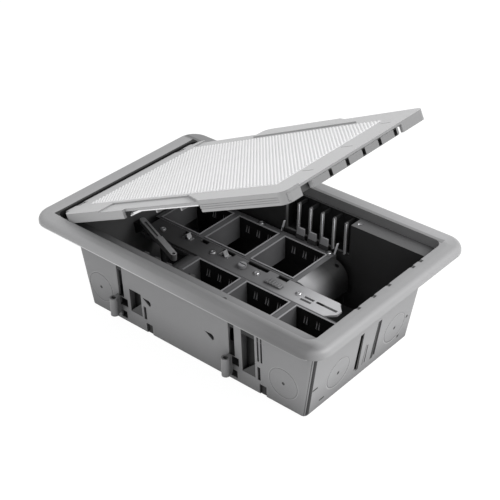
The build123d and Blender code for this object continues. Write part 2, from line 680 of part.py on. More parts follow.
def centre_rail():
    """Rail between the rows, with shelves that carry their inner edges."""
    top = -ROW_DROP
    half = RAIL_HALF_WIDTH
    shelf = half + RAIL_SHELF
    cut = RAIL_CHAMFER
    outline = [(RAIL_START, -half), (RAIL_END - cut, -half), (RAIL_END, -half + cut), (RAIL_END, half - cut),
               (RAIL_END - cut, half), (RAIL_START, half)]
    rail = prism_z(outline, top - RAIL_PLATE, top)
    for side in (-1, 1):
        inner = side * (half - 1.8)
        outer = side * shelf
        rail += block(RAIL_START, RAIL_END - cut, min(inner, outer), max(inner, outer),
                      top - ROW_PLATE - RAIL_PLATE, top - ROW_PLATE)
        web = side * (half - 3.8)
        rail += block(RAIL_START, RAIL_END - cut, min(web, inner), max(web, inner), top - RAIL_FLANGE, top)
    for x in PILLAR_PLACES:
        rail -= post(x, 0, SCREW_SHAFT_RADIUS + SCREW_CLEARANCE, top - 4, top + 1)
    rail -= post(KNOB_X, KNOB_Y, KNOB_STEM + 0.1, top - 4, top + 1)
    rail -= block(LOCK_START + LOCK_NECK_MARGIN - 1, LOCK_START + LOCK_LENGTH, LOCK_Y - LOCK_SLOT / 2,
                  LOCK_Y + LOCK_SLOT / 2, top - 4, top + 1)
    edge = half - EDGE_SLOT_MARGIN
    for x0, x1 in EDGE_SLOTS:
        rail -= block(x0, x1, edge - EDGE_SLOT_WIDTH, edge, top - 4, top + 1)
    for x0, x1 in MID_SLOTS:
        rail -= block(x0, x1, -MID_SLOT_WIDTH / 2, MID_SLOT_WIDTH / 2, top - 4, top + 1)
    return rail


def rail_knob():
    """Turn knob with a stem through the rail."""
    top = -ROW_DROP
    knob = post(KNOB_X, KNOB_Y, KNOB_RADIUS, top + 0.3, top + KNOB_HEIGHT)
    knob = chamfer(knob.faces().sort_by(Axis.Z)[-1].edges(), 0.6)
    knob -= block(KNOB_X - KNOB_RADIUS, KNOB_X + KNOB_RADIUS, KNOB_Y - 0.6, KNOB_Y + 0.6,
                  top + KNOB_HEIGHT - 1.2, top + KNOB_HEIGHT + 1)
    knob += post(KNOB_X, KNOB_Y, KNOB_STEM, top - RAIL_PLATE - 0.3, top + 0.3)
    return knob + post(KNOB_X, KNOB_Y, KNOB_STEM + 1, top - RAIL_PLATE - 1.5, top - RAIL_PLATE - 0.3)


def rail_lock():
    """Serrated thumb slide that locks the rows, held in a slot of the rail."""
    top = -ROW_DROP
    end = LOCK_START + LOCK_LENGTH
    lock = block(LOCK_START, end, LOCK_Y - LOCK_WIDTH / 2, LOCK_Y + LOCK_WIDTH / 2, top + LOCK_PLAY, top + 1.6)
    for index in range(5):
        x = LOCK_START + 1.9 + index * 3
        lock += block(x, x + 1.2, LOCK_Y - LOCK_WIDTH / 2, LOCK_Y + LOCK_WIDTH / 2, top + 1.6, top + 2.4)
    neck = LOCK_SLOT / 2 - LOCK_PLAY
    first = LOCK_START + LOCK_NECK_MARGIN
    last = end - LOCK_NECK_MARGIN
    lock += block(first, last, LOCK_Y - neck, LOCK_Y + neck, top - RAIL_PLATE - LOCK_PLAY, top + LOCK_PLAY)
    return lock + block(first, last, LOCK_Y - 2.6, LOCK_Y + 2.6, top - RAIL_PLATE - 1.4,
                        top - RAIL_PLATE - LOCK_PLAY)


def rail_clips():
    """Bent spring clips that stand on the rail."""
    top = -ROW_DROP
    clips = Part()
    for x in CLIP_PLACES:
        half = [(0.4, top + CLIP_HEIGHT), (2.4, top + CLIP_STRIP), (CLIP_HALF_LENGTH, top + CLIP_STRIP),
                (CLIP_HALF_LENGTH, top), (2.0, top), (0.0, top + CLIP_HEIGHT - 0.8)]
        points = [(x + u, z) for u, z in half] + [(x - u, z) for u, z in reversed(half[:-1])]
        clips += prism_y(points, CLIP_INNER, CLIP_OUTER)
    return clips


def screw(x, y, z, length):
    """Pan-head screw with its head on a face at the given height."""
    body = post(x, y, SCREW_SHAFT_RADIUS, z - length, z)
    head = post(x, y, SCREW_HEAD_RADIUS, z, z + SCREW_HEAD_HEIGHT)
    return body + fillet(head.faces().sort_by(Axis.Z)[-1].edges(), 0.6)


def row_screws():
    shapes = [screw(x, y, -ROW_DROP, SCREW_LENGTH) for x, y in row_screw_places()]
    shapes += [screw(-x, -y, -ROW_DROP, SCREW_LENGTH) for x, y in row_screw_places()]
    return Compound(children=shapes)


def rail_screws():
    return Compound(children=[screw(x, 0, -ROW_DROP, SCREW_LENGTH) for x in PILLAR_PLACES])


def rear_cable_guide():
    """Quarter-round guide at the open end of the rear row."""
    start = -ROW_SHIFT + SOCKET_PITCH + SOCKET_SIZE / 2 + ROW_MARGIN
    top = -ROW_DROP
    centre = top - GUIDE_RADIUS
    outer = GUIDE_RADIUS
    inner = GUIDE_RADIUS - GUIDE_THICKNESS
    s = sin(radians(45))
    outline = make_face([
        ThreePointArc((start, GUIDE_START, top), (start + outer * s, GUIDE_START, centre + outer * s),
                      (start + outer, GUIDE_START, centre)),
        Line((start + outer, GUIDE_START, centre), (start + outer, GUIDE_START, centre - GUIDE_DROP)),
        Line((start + outer, GUIDE_START, centre - GUIDE_DROP), (start + inner, GUIDE_START, centre - GUIDE_DROP)),
        Line((start + inner, GUIDE_START, centre - GUIDE_DROP), (start + inner, GUIDE_START, centre)),
        ThreePointArc((start + inner, GUIDE_START, centre), (start + inner * s, GUIDE_START, centre + inner * s),
                      (start, GUIDE_START, centre + inner)),
        Line((start, GUIDE_START, centre + inner), (start, GUIDE_START, top))])
    guide = extrude(outline, GUIDE_END - GUIDE_START, dir=(0, 1, 0))
    lip_top = top - ROW_PLATE
    guide += block(start - ROW_MARGIN + SOCKET_WALL + 0.4, start + 1, GUIDE_START + 4, GUIDE_END - 4,
                   lip_top - GUIDE_THICKNESS, lip_top)
    hole = Pos(start + 9, GUIDE_END - 5, top) * Cylinder(1.9, 20)
    return guide - hole


def front_cable_arm():
    """Diagonal arm from the end wall across the front cable space."""
    root = Vector(*ARM_ROOT)
    tip = Vector(*ARM_TIP)
    along = (tip - root).normalized()
    across = Vector(-along.Y, along.X)
    bottom = -ROW_DROP
    top = bottom + ARM_HEIGHT
    step = root + (tip - root) * ARM_STEP_SHARE

    def bar(start, end, width, z0, z1):
        side = across * (width / 2)
        corners = [start + side, start - side, end - side, end + side]
        return prism_z([(p.X, p.Y) for p in corners], z0, z1)

    arm = bar(root, tip, ARM_WIDTH, bottom, top)
    arm += post(root.X, root.Y, ARM_WIDTH / 2, bottom, top)
    arm += bar(step, tip, ARM_WIDTH, top, top + ARM_STEP)
    arm += post(tip.X, tip.Y, ARM_WIDTH / 2, bottom, top + ARM_STEP)
    arm -= bar(root + along * 5, step - along * 4, 2.0, top - 1.5, top + 1)
    return arm - post(tip.X, tip.Y, 1.5, bottom - 1, top + ARM_STEP + 1)


# Lid, drawn closed

def lid_box(u0, u1, v0, v1, w0, w1):
    """Box in the closed lid: u from the hinge axis, v across, w down from the lid's top."""
    return block(HINGE_X + u0, HINGE_X + u1, v0, v1, LID_TOP - w1, LID_TOP - w0)


def lid_blank(w0, w1, inset=0.0):
    """The lid's outline as a plate, with rounded corners at the free edge."""
    half = LID_HALF_WIDTH - inset
    reach = LID_REACH - inset
    corner = LID_CORNER - inset
    plate = extrude(Pos(HINGE_X, 0, LID_TOP - w1) * Rectangle(
        2 * reach, 2 * half), w1 - w0)
    plate = fillet(plate.edges().filter_by(Axis.Z), corner)
    return plate & lid_box(0, LID_REACH + 1, -TRIM_WIDTH, TRIM_WIDTH, w0 - 1, w1 + 1)


def lid_frame():
    frame = lid_blank(0, LID_THICKNESS)
    window = PLATE_HALF_WIDTH + 2.2
    hollow = lid_blank(LID_SKIN, LID_THICKNESS + 1, LID_RIM)
    hollow -= lid_box(-1, 14, -TRIM_WIDTH, TRIM_WIDTH, 0, LID_THICKNESS + 1)
    hollow -= lid_box(PLATE_START - 2.2, PLATE_END + 2.2, -window, window, 0, LID_THICKNESS + 1)
    for index in range(1, 9):
        u = index * 30.0
        hollow -= lid_box(u - 0.8, u + 0.8, -LID_HALF_WIDTH + 6, LID_HALF_WIDTH - 6, 0, LID_THICKNESS + 1)
    for v in (-45, -15, 15, 45):
        hollow -= lid_box(0, LATCH_INNER - 6, v - 0.8, v + 0.8, 0, LID_THICKNESS + 1)
    frame -= hollow
    pocket = PLATE_THICKNESS + STIFFENER_THICKNESS
    frame -= lid_box(PLATE_START, PLATE_END, -PLATE_HALF_WIDTH, PLATE_HALF_WIDTH, -1, pocket)
    frame -= lid_box(PLATE_START + SEAT_WIDTH, PLATE_END - SEAT_WIDTH, -PLATE_HALF_WIDTH + SEAT_WIDTH,
                     PLATE_HALF_WIDTH - SEAT_WIDTH, -1, LID_THICKNESS + 1)
    frame -= lid_box(PLATE_START - 0.2, PLATE_END + 0.2, -PLATE_HALF_WIDTH, PLATE_HALF_WIDTH,
                     pocket + SEAT_THICKNESS, LID_THICKNESS + 1)
    frame = front_way(frame)
    frame = mirrored(rear_way(mirrored(frame)))
    frame -= latch_recess()
    for v in MARK_PLACES:
        end = LID_REACH - MARK_END_MARGIN
        frame -= lid_box(end - MARK_LENGTH, end, v - MARK_WIDTH / 2, v + MARK_WIDTH / 2, -1, MARK_DEPTH)
    frame += hinge_edge()
    frame -= hinge_corner() + mirrored(hinge_corner())
    for v in (-HINGE_LUG_PLACE, HINGE_LUG_PLACE):
        room = HINGE_LUG_WIDTH / 2 + 0.5
        frame -= lid_box(-HINGE_RADIUS - 1, 6, v - room, v + room, -1, LID_THICKNESS + 1)
    frame -= hinge_bores()
    for u, v in lid_screw_places():
        frame -= lid_post(u, v, SCREW_SHAFT_RADIUS + SCREW_CLEARANCE, pocket, LID_THICKNESS)
    return frame


def lid_post(u, v, radius, w0, w1):
    """Upright round bar in the closed lid."""
    return post(HINGE_X + u, v, radius, LID_TOP - w1, LID_TOP - w0)


def cover_way(frame, exit_start, low, high, shelf):
    """Shelf, cable exit and set-back rim in the lid's front side, for a cover sliding between two places."""
    half = LID_HALF_WIDTH
    exit_end = exit_start + SHUTTER_LENGTH
    rim = half - RIM_INSET
    frame -= prism_z([(HINGE_X + u, v) for u, v in shelf], LID_TOP - SHELF_DROP, LID_TOP + 1)
    frame -= lid_box(low, high, -half - 1, -rim, -1, LID_THICKNESS + 1)
    frame += lid_box(low, min(high, LID_REACH - LID_CORNER), -rim, -rim + 2.2, SHELF_DROP, LID_THICKNESS - 1.6)
    frame -= lid_box(exit_start, exit_end, -half - 1, -rim + 4, LID_SKIN, LID_THICKNESS + 1)
    return frame - lid_box(low, high, -half - 1, -rim + HOOK_REACH + SHUTTER_PLAY,
                           LID_THICKNESS - HOOK_THICKNESS - SHUTTER_PLAY, LID_THICKNESS + 1)


def front_way(frame):
    """The front cover's way, open at the lid's free edge."""
    start = FRONT_EXIT_START - SHUTTER_MITRE - 1
    outer = -LID_HALF_WIDTH - 1
    shelf = [(start, outer), (LID_REACH + 1, outer), (LID_REACH + 1, -SHELF_HALF_WIDTH), (start, -SHELF_HALF_WIDTH)]
    return cover_way(frame, FRONT_EXIT_START, FRONT_EXIT_START, LID_REACH + 1, shelf)


def rear_way(frame):
    """The rear cover's way, drawn on the front side: from near the hinge to a mitred end."""
    end = REAR_EXIT_START + SHUTTER_LENGTH
    slope = SHUTTER_MITRE / SHELF_WIDTH
    outer = -LID_HALF_WIDTH - 1
    shelf = [(REAR_WAY_START, outer), (end + 1 - slope, outer), (end + 1 + SHUTTER_MITRE, -SHELF_HALF_WIDTH),
             (REAR_WAY_START, -SHELF_HALF_WIDTH)]
    return cover_way(frame, REAR_EXIT_START, REAR_WAY_START, end, shelf)


def hinge_corner():
    """Waste cut from a hinge corner so that the lid turns clear of the trim's rounded corner."""
    side = LID_HALF_WIDTH - HINGE_CORNER
    centre = HINGE_CORNER + 4.6
    waste = lid_box(4.6, centre, side, TRIM_WIDTH, -1, LID_THICKNESS + 1)
    waste -= lid_post(centre, side, HINGE_CORNER, -2, LID_THICKNESS + 2)
    return waste + lid_box(-5, 4.6, side - 0.4, TRIM_WIDTH, -1, LID_THICKNESS + 1)


def latch_recess():
    """Recess for the slider in the free edge."""
    return lid_box(LATCH_INNER, LID_REACH + 1, LATCH_RECESS_START, LATCH_RECESS_END, LATCH_TOP - 0.3,
                   LID_THICKNESS + 1)


def latch_track():
    """Steel strip on the back of the recess, along which the slider runs."""
    return lid_box(LATCH_INNER, LATCH_INNER + LATCH_TRACK, LATCH_RECESS_START + 0.2, LATCH_RECESS_END - 0.2,
                   LATCH_TOP - 0.1, LATCH_TOP + LATCH_HEIGHT)


def latch_slider():
    """Notched slider in the lid's free edge."""
    inner = LATCH_INNER + LATCH_TRACK + SHUTTER_PLAY
    end = LATCH_START + LATCH_LENGTH
    slider = lid_box(inner, LID_REACH, LATCH_START, end, LATCH_TOP, LATCH_TOP + LATCH_HEIGHT)
    slider = fillet(slider.edges().filter_by(Axis.X).group_by(Axis.Z)[0], 1.2)
    for index in range(LATCH_NOTCH_COUNT):
        v = end - LATCH_NOTCH_MARGIN - index * LATCH_NOTCH_PITCH
        slider -= lid_box(LID_REACH - 2.6, LID_REACH + 1, v - LATCH_NOTCH_WIDTH / 2, v + LATCH_NOTCH_WIDTH / 2,
                          LATCH_TOP + 0.6, LATCH_TOP + LATCH_HEIGHT - 0.8)
    return slider


def hinge_edge():
    """Half-round hinge edge about the hinge axis."""
    barrel = Pos(HINGE_X, 0, HINGE_Z) * Rot(90, 0, 0) * Cylinder(HINGE_RADIUS, 2 * LID_HALF_WIDTH)
    tangent = HINGE_RADIUS * 0.7
    bottom = LID_TOP - LID_THICKNESS + 0.3
    slope = [(HINGE_X - tangent, HINGE_Z - tangent), (HINGE_X, bottom), (HINGE_X + 3, bottom), (HINGE_X + 3, HINGE_Z)]
    return barrel + prism_y(slope, -LID_HALF_WIDTH, LID_HALF_WIDTH)


def hinge_bores():
    shapes = [Pos(HINGE_X, y, HINGE_Z) * Rot(90, 0, 0) * Cylinder(HINGE_PIN_RADIUS, HINGE_PIN_LENGTH)
              for y in (-HINGE_LUG_PLACE, HINGE_LUG_PLACE)]
    return Part() + shapes


def hinge_pins():
    shapes = [Pos(HINGE_X, y, HINGE_Z) * Rot(90, 0, 0) * Cylinder(HINGE_PIN_RADIUS, HINGE_PIN_LENGTH)
              for y in (-HINGE_LUG_PLACE, HINGE_LUG_PLACE)]
    return Compound(children=shapes)


def lid_plate():
    """Patterned insert, flush with the lid's top."""
    return lid_box(PLATE_START + 0.2, PLATE_END - 0.2, -PLATE_HALF_WIDTH + 0.2, PLATE_HALF_WIDTH - 0.2,
                   0, PLATE_THICKNESS)


def lid_screw_places():
    margin = SEAT_WIDTH / 2
    us = (PLATE_START + margin, (PLATE_START + PLATE_END) / 2, PLATE_END - margin)
    vs = (-PLATE_HALF_WIDTH + margin, PLATE_HALF_WIDTH - margin)
    return [(u, v) for u in us for v in vs]


def lid_stiffener():
    """Steel plate that carries the insert."""
    plate = lid_box(PLATE_START + 0.2, PLATE_END - 0.2, -PLATE_HALF_WIDTH + 0.2, PLATE_HALF_WIDTH - 0.2,
                    PLATE_THICKNESS, PLATE_THICKNESS + STIFFENER_THICKNESS)
    for u, v in lid_screw_places():
        plate -= lid_post(u, v, SCREW_SHAFT_RADIUS + SCREW_CLEARANCE, PLATE_THICKNESS, LID_THICKNESS)
    return plate


def lid_screws():
    """Screws driven up through the seat into the stiffener."""
    face = PLATE_THICKNESS + STIFFENER_THICKNESS + SEAT_THICKNESS
    shapes = []
    for u, v in lid_screw_places():
        shaft = lid_post(u, v, SCREW_SHAFT_RADIUS, PLATE_THICKNESS, face)
        shapes.append(shaft + lid_post(u, v, SCREW_HEAD_RADIUS, face, face + SCREW_HEAD_HEIGHT))
    return Compound(children=shapes)


def guide_strip(start):
    """Bright steel strip under the edge of a front cable exit, its hinge end bent down."""
    v = LID_HALF_WIDTH - RIM_INSET - 1.6
    end = start + SHUTTER_LENGTH - 3
    bend = start + 17
    top = LID_SKIN
    points = [(start + 2, top + 5), (start + 2, top + 2.6), (bend, top), (end, top), (end, top + STRIP_HEIGHT),
              (bend + 1, top + STRIP_HEIGHT)]
    return prism_y([(HINGE_X + u, LID_TOP - w) for u, w in points], -v, -v + STRIP_THICKNESS)


def shutter(start):
    """Sliding cover of a front cable exit: top plate, outer skirt and a hook under the rim."""
    half = LID_HALF_WIDTH
    rim = half - RIM_INSET
    end = start + SHUTTER_LENGTH
    top = LID_TOP - SHELF_DROP + SHUTTER_THICKNESS
    inner = SHELF_HALF_WIDTH + SHUTTER_PLAY
    outline = [(start, -half), (end, -half), (end, -inner), (start - SHUTTER_MITRE, -inner)]
    cover = prism_z([(HINGE_X + u, v) for u, v in outline], LID_TOP - SHELF_DROP + 0.1, top)
    cover += lid_box(start, end, -half, -rim - SHUTTER_PLAY, SHELF_DROP - 0.5, LID_THICKNESS)
    cover += lid_box(start, end, -half, -rim + HOOK_REACH, LID_THICKNESS - HOOK_THICKNESS, LID_THICKNESS)
    corner = SHUTTER_CORNER
    waste = lid_box(end - corner, end + 1, -half - 1, -half + corner, -SHUTTER_THICKNESS - 1, LID_THICKNESS + 1)
    cover -= waste - lid_post(end - corner, -half + corner, corner, -SHUTTER_THICKNESS - 2, LID_THICKNESS + 2)
    for index in range(SKIRT_LINE_COUNT):
        line = LID_THICKNESS / 2 + (index - (SKIRT_LINE_COUNT - 1) / 2) * SKIRT_LINE_PITCH
        cover -= lid_box(start - 1, end - corner, -half - 1, -half + SKIRT_LINE_DEPTH,
                         line - SKIRT_LINE_WIDTH / 2, line + SKIRT_LINE_WIDTH / 2)
    return cover


def rear_shutter():
    """The front cover turned half round, so that its mitred end points to the free edge."""
    middle = REAR_EXIT_START - 0.6 + SHUTTER_LENGTH / 2
    cover = shutter(middle - SHUTTER_LENGTH / 2)
    return Pos(2 * (HINGE_X + middle), 0, 0) * half_turn(cover)


def opened(shape):
    """A lid part turned about the hinge from closed to its rest angle."""
    axis = Axis((HINGE_X, 0, HINGE_Z), (0, -1, 0))
    return shape.rotate(axis, LID_REST_ANGLE)


def mirrored(shape):
    return mirror(shape, Plane.XZ)


def save(node, shape):
    """Write one node, lifted so that the tub's underside lies at z = 0."""
    export_step(Pos(0, 0, TUB_DEPTH) * shape, "parts/" + node + ".step")


def main():
    os.makedirs("parts", exist_ok=True)
    save("tub", tub())
    save("trim_frame", trim_frame())
    save("rear_socket_row", rear_socket_row())
    save("front_socket_row", front_socket_row())
    save("centre_rail", centre_rail())
    save("rail_knob", rail_knob())
    save("rail_lock", rail_lock())
    save("rail_clips", rail_clips())
    save("row_screws", row_screws())
    save("rail_screws", rail_screws())
    save("rear_cable_guide", rear_cable_guide())
    save("front_cable_guide", half_turn(rear_cable_guide()))
    save("front_cable_arm", front_cable_arm())
    open_end = LID_REACH - SHUTTER_LENGTH
    save("lid_frame", opened(lid_frame()))
    save("lid_plate", opened(lid_plate()))
    save("lid_stiffener", opened(lid_stiffener()))
    save("lid_screws", opened(lid_screws()))
    save("hinge_pins", opened(hinge_pins()))
    save("front_guide_strip", opened(guide_strip(FRONT_EXIT_START)))
    save("rear_guide_strip", opened(mirrored(guide_strip(REAR_EXIT_START))))
    save("front_shutter", opened(shutter(open_end)))
    save("rear_shutter", opened(rear_shutter()))
    save("latch_track", opened(latch_track()))
    save("latch_slider", opened(latch_slider()))


main()
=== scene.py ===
import json
import math

import bmesh
import bpy
from bpy.props import FloatProperty, FloatVectorProperty, PointerProperty
from mathutils import Matrix, Vector


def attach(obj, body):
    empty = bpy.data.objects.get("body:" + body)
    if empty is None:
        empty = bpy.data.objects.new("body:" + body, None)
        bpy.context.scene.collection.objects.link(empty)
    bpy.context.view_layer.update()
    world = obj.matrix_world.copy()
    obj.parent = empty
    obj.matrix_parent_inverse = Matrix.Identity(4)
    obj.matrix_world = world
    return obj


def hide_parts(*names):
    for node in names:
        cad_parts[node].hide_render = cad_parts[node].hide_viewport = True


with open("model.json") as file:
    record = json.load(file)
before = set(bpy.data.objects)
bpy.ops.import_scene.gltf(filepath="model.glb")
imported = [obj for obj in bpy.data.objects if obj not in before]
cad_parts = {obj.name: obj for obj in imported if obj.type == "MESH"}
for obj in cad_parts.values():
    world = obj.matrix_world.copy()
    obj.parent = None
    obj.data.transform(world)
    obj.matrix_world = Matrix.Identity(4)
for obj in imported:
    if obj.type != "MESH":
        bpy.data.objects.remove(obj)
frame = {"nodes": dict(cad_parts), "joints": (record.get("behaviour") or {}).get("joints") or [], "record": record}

bl_info = {
    "name": "Floor socket box",
    "version": (1, 0, 0),
    "blender": (4, 5, 0),
    "location": "View3D > Sidebar > Floor box",
    "description": "Finishes, tread, screws and studio for a hinged floor socket box",
    "category": "Object",
}

# Sizes and places are in metres: X and Y from the middle of the tub, depths down from the floor.

HINGE = next(joint for joint in frame["joints"] if joint["name"] == "lid_hinge")
FLANGE = next(mount for mount in frame["record"]["mounts"] if mount["name"] == "floor_flange")
FLOOR_LINE = FLANGE["pos_m"][2]

# Lid: how far it stands open, its plate along it from the hinge, and the latch's notches across it

LID_OPEN = -math.radians(HINGE["range_deg"][0])
LID_AXIS_BELOW_TOP = 0.0024
PLATE_START = 0.0182
PLATE_END = 0.2448
PLATE_HALF_WIDTH = 0.0653
LATCH_NOTCH_COUNT = 5
LATCH_NOTCH_PITCH = 0.020
LATCH_NOTCH_FIRST = 0.0445
LATCH_NOTCH_HALF = 0.0019

# Tub walls: how far they lean in for each metre of depth, the hollow between them, whose inner faces get painted
# shade, and the end wall's face

END_WALL_LEAN = 0.155
SIDE_WALL_LEAN = 0.0377
TUB_HOLLOW = ((-0.1332, 0.1332), (-0.0732, 0.0732), (0.0032, 1.0))
END_WALL_FACE = (0.1322, 0.1352)

# Stations on the side walls: pockets with a claw slot, twin slots and a foot notch

STATION = 0.0573
STATION_PITCH = 0.1272
STATIONS = (STATION - STATION_PITCH, STATION)
REAR_STATION_SHIFT = 0.0215
POCKET_TOPS = (0.0487, 0.0334)
POCKET_FOOT = 0.0725
POCKET_WIDTH = 0.0138
POCKET_BACK = 0.0640
POCKET_FACE = 0.0727
CLAW_SLOT_PLACE = -0.0137
CLAW_SLOT_WIDTH = 0.0062
TWIN_SLOT_PLACES = (0.0163, 0.0198)
TWIN_SLOT_WIDTH = 0.0017
FOOT_NOTCH_PLACE = 0.0178
FOOT_NOTCH_WIDTH = 0.0072
FOOT_NOTCH_TOP = 0.0770
FOOT_NOTCH_BACK = 0.0680
FOOT_NOTCH_FACE = 0.0722

# Shade on the front wall above its slots, behind the trim's edge

SHADE_BACK = 0.0718
SHADE_FACE = 0.0745
SHADE_FOOT = 0.0338
SHADE_HEIGHT = 0.0200

# Windows of a rear station: start from the station, width, place across, top and foot depths

REAR_WINDOWS = ((-0.0052, 0.0097, 0.0698, 0.0625, 0.0710), (-0.0032, 0.0070, 0.0693, 0.0765, 0.0840),
                (-0.0280, 0.0030, 0.0698, 0.0600, 0.0734))
MEMBRANE = 0.0008

# Niche in the rear wall, its ribs and the screw tube beside it

NICHE_START = -0.0142
NICHE_END = 0.0572
NICHE_TOP = 0.0025
NICHE_FOOT = 0.0345
NICHE_RIB_COUNT = 5
NICHE_RIB_FIRST = -0.0003
NICHE_RIB_PITCH = 0.0129
NICHE_RIB_HALF = 0.0010
NICHE_RIB_FACE = (0.0660, 0.0722)
NICHE_WALL = (0.0745, 0.0845)
LEDGE_FACE = (0.0708, 0.0880)
TUBE_PLACE = (0.0620, 0.0780)
TUBE_HALF = 0.0024
TUBE_MOUTH = (0.0028, 0.0049)

# Knockouts: places along the front and across the end, and the sizes of their marks

KNOCKOUTS_FRONT = (-0.1060, 0.1000)
KNOCKOUTS_END = (-0.0333, 0.0437)
KNOCKOUT_DEPTH = 0.0632
KNOCKOUT_RADIUS = 0.0145
KNOCKOUT_GROOVE_HALF = 0.0006
KNOCKOUT_CENTRE = 0.0014

# End wall: places of the grooves and of the slot, and pin marks as place, depth, half width and half height

END_GROOVES = (-0.0076, 0.0180)
END_GROOVE_HALF = 0.0018
END_GROOVE_DEPTHS = (0.0385, 0.0790)
END_SLOT = (0.0046, 0.0058)
END_SLOT_DEPTHS = (0.0560, 0.0780)
END_CORNER_GROOVE = (-0.0722, -0.0690)
END_CORNER_DEPTHS = (0.0040, 0.0860)
END_PINS = ((-0.0631, 0.0610, 0.0032, 0.0009), (-0.0509, 0.0794, 0.0032, 0.0009),
            (0.0612, 0.0606, 0.0014, 0.0014), (0.0532, 0.0779, 0.0014, 0.0014))

# Trim frame: its opening, the catches in the opening's edge, and the faces, the edge and the gap where shade or a
# highlight is painted

OPENING_HALF_LENGTH = 0.1385
OPENING_HALF_WIDTH = 0.0868
CATCH_PLACES = (-0.0313, -0.0112, 0.0084, 0.0412, 0.0523)
CATCH_HALF = 0.0018
CATCH_REACH = (0.1335, 0.1416)
HINGE_GAP = (-0.1402, -0.1340)
REAR_INNER_FACE = (0.0850, 0.0895)
FRONT_LOWER_EDGE = (-0.1030, -0.1000)
LOWER_EDGE_BELOW = 0.0010
LOWER_EDGE_ABOVE = 0.0008
TRIM_BELOW = 0.004
TRIM_ABOVE = 0.009
BAND_ABOVE = 0.008
BAND_HALF_LENGTH = 0.15
LID_HINGE_EDGE = -0.1360

# Socket rows and rail

ROW_TOP = 0.0345
ROW_LIP = 0.0347
ROW_SHIFT = 0.0366
ROW_CENTRE = 0.0374
SOCKET_PITCH = 0.0535
SOCKET_HALF = 0.0205
TEETH_PITCH = 0.0125
TOOTH_TOP = 0.0404
TOOTH_FOOT = 0.0486
TOOTH_HALF = 0.0013
TOOTH_EDGE = 0.0004
TOOTH_DEPTH = 0.0024
ROW_OUTER_SIDE = (-0.0685, -0.0655)
TABS = (-0.0140, 0.0420)
PEG_PLACES = ((-0.0160, -0.0090), (0.0430, 0.0500))
PEG_SIDES = (0.0640, 0.0672)
PEG_TOP = 0.0200
RAIL_SLOT_HALF = 0.0013
RAIL_LONG_SLOT = (0.0765, 0.0975)
RAIL_SHORT_SLOT = (0.0630, 0.0740)
RAIL_SHORT_SLOT_SIDES = (-0.0056, -0.0032)
RAIL_EDGE_SLOT_SIDES = (0.0064, 0.0112)
RAIL_EDGE_SLOTS = ((-0.0800, -0.0720), (-0.0590, -0.0510), (-0.0345, -0.0205), (-0.0050, 0.0180),
                   (0.0285, 0.0395))

# A box around the tub's walls, the back of its front wall, the start of its far end, and a box around all

TUB_LOW, TUB_HIGH = (-0.14, -0.08, 0.0), (0.14, 0.08, 0.1)
FRONT_WALL_BACK = -0.06
FAR_END_START = 0.11
ALL_LOW, ALL_HIGH = (-1, -1, -1), (1, 1, 1)

# Camera: place, the directions of its right and upper sides, and its film

CAMERA_PLACE = (0.56404, -0.64244, 0.54538 + FLOOR_LINE)
CAMERA_RIGHT = (0.758327, 0.651807, -0.009357)
CAMERA_UP = (-0.352562, 0.422168, 0.835149)
CAMERA_SHIFT = 0.003
CAMERA_NEAR = 0.05
FILM_WIDTH = 36


def lid_to_row():
    """Places the closed lid's own axes (along, across, up from its top) as the lid stands open at rest."""
    turn = Matrix.Rotation(LID_OPEN, 4, Vector((0, -1, 0)))
    return Matrix.Translation(Vector(HINGE["pos_m"])) @ turn @ Matrix.Translation((0, 0, LID_AXIS_BELOW_TOP))


# Node trees

class Value:
    """A node's output that takes part in Python arithmetic."""

    def __init__(self, tree, socket):
        self.tree = tree
        self.socket = socket

    def math(self, operation, *others):
        return self.tree.node("ShaderNodeMath", {"operation": operation}, {
            index: value for index, value in enumerate((self, *others))})

    def __add__(self, other):
        return self.math("ADD", other)

    def __mul__(self, other):
        return self.math("MULTIPLY", other)

    def __sub__(self, other):
        return self.math("SUBTRACT", other)

    def __truediv__(self, other):
        return self.math("DIVIDE", other)

    def __rsub__(self, other):
        return self.tree.node("ShaderNodeMath", {"operation": "SUBTRACT"}, {0: other, 1: self})

    __radd__ = __add__

    def __neg__(self):
        return self.math("MULTIPLY", -1.0)

    def smallest(self, other):
        return self.math("MINIMUM", other)

    def largest(self, other):
        return self.math("MAXIMUM", other)


class Tree:
    """Adds nodes to a material's or a geometry group's node tree."""

    def __init__(self, tree):
        self.tree = tree

    def node(self, kind, settings=None, values=None, output=0):
        """One node: its settings first, then the numbers or links of its sockets."""
        made = self.tree.nodes.new(kind)
        for name, setting in (settings or {}).items():
            setattr(made, name, setting)
        for name, value in (values or {}).items():
            if isinstance(value, Value):
                self.tree.links.new(value.socket, made.inputs[name])
            else:
                made.inputs[name].default_value = value
        return Value(self, made.outputs[output]) if len(made.outputs) else made

    def output_of(self, value, name):
        return Value(self, value.socket.node.outputs[name])


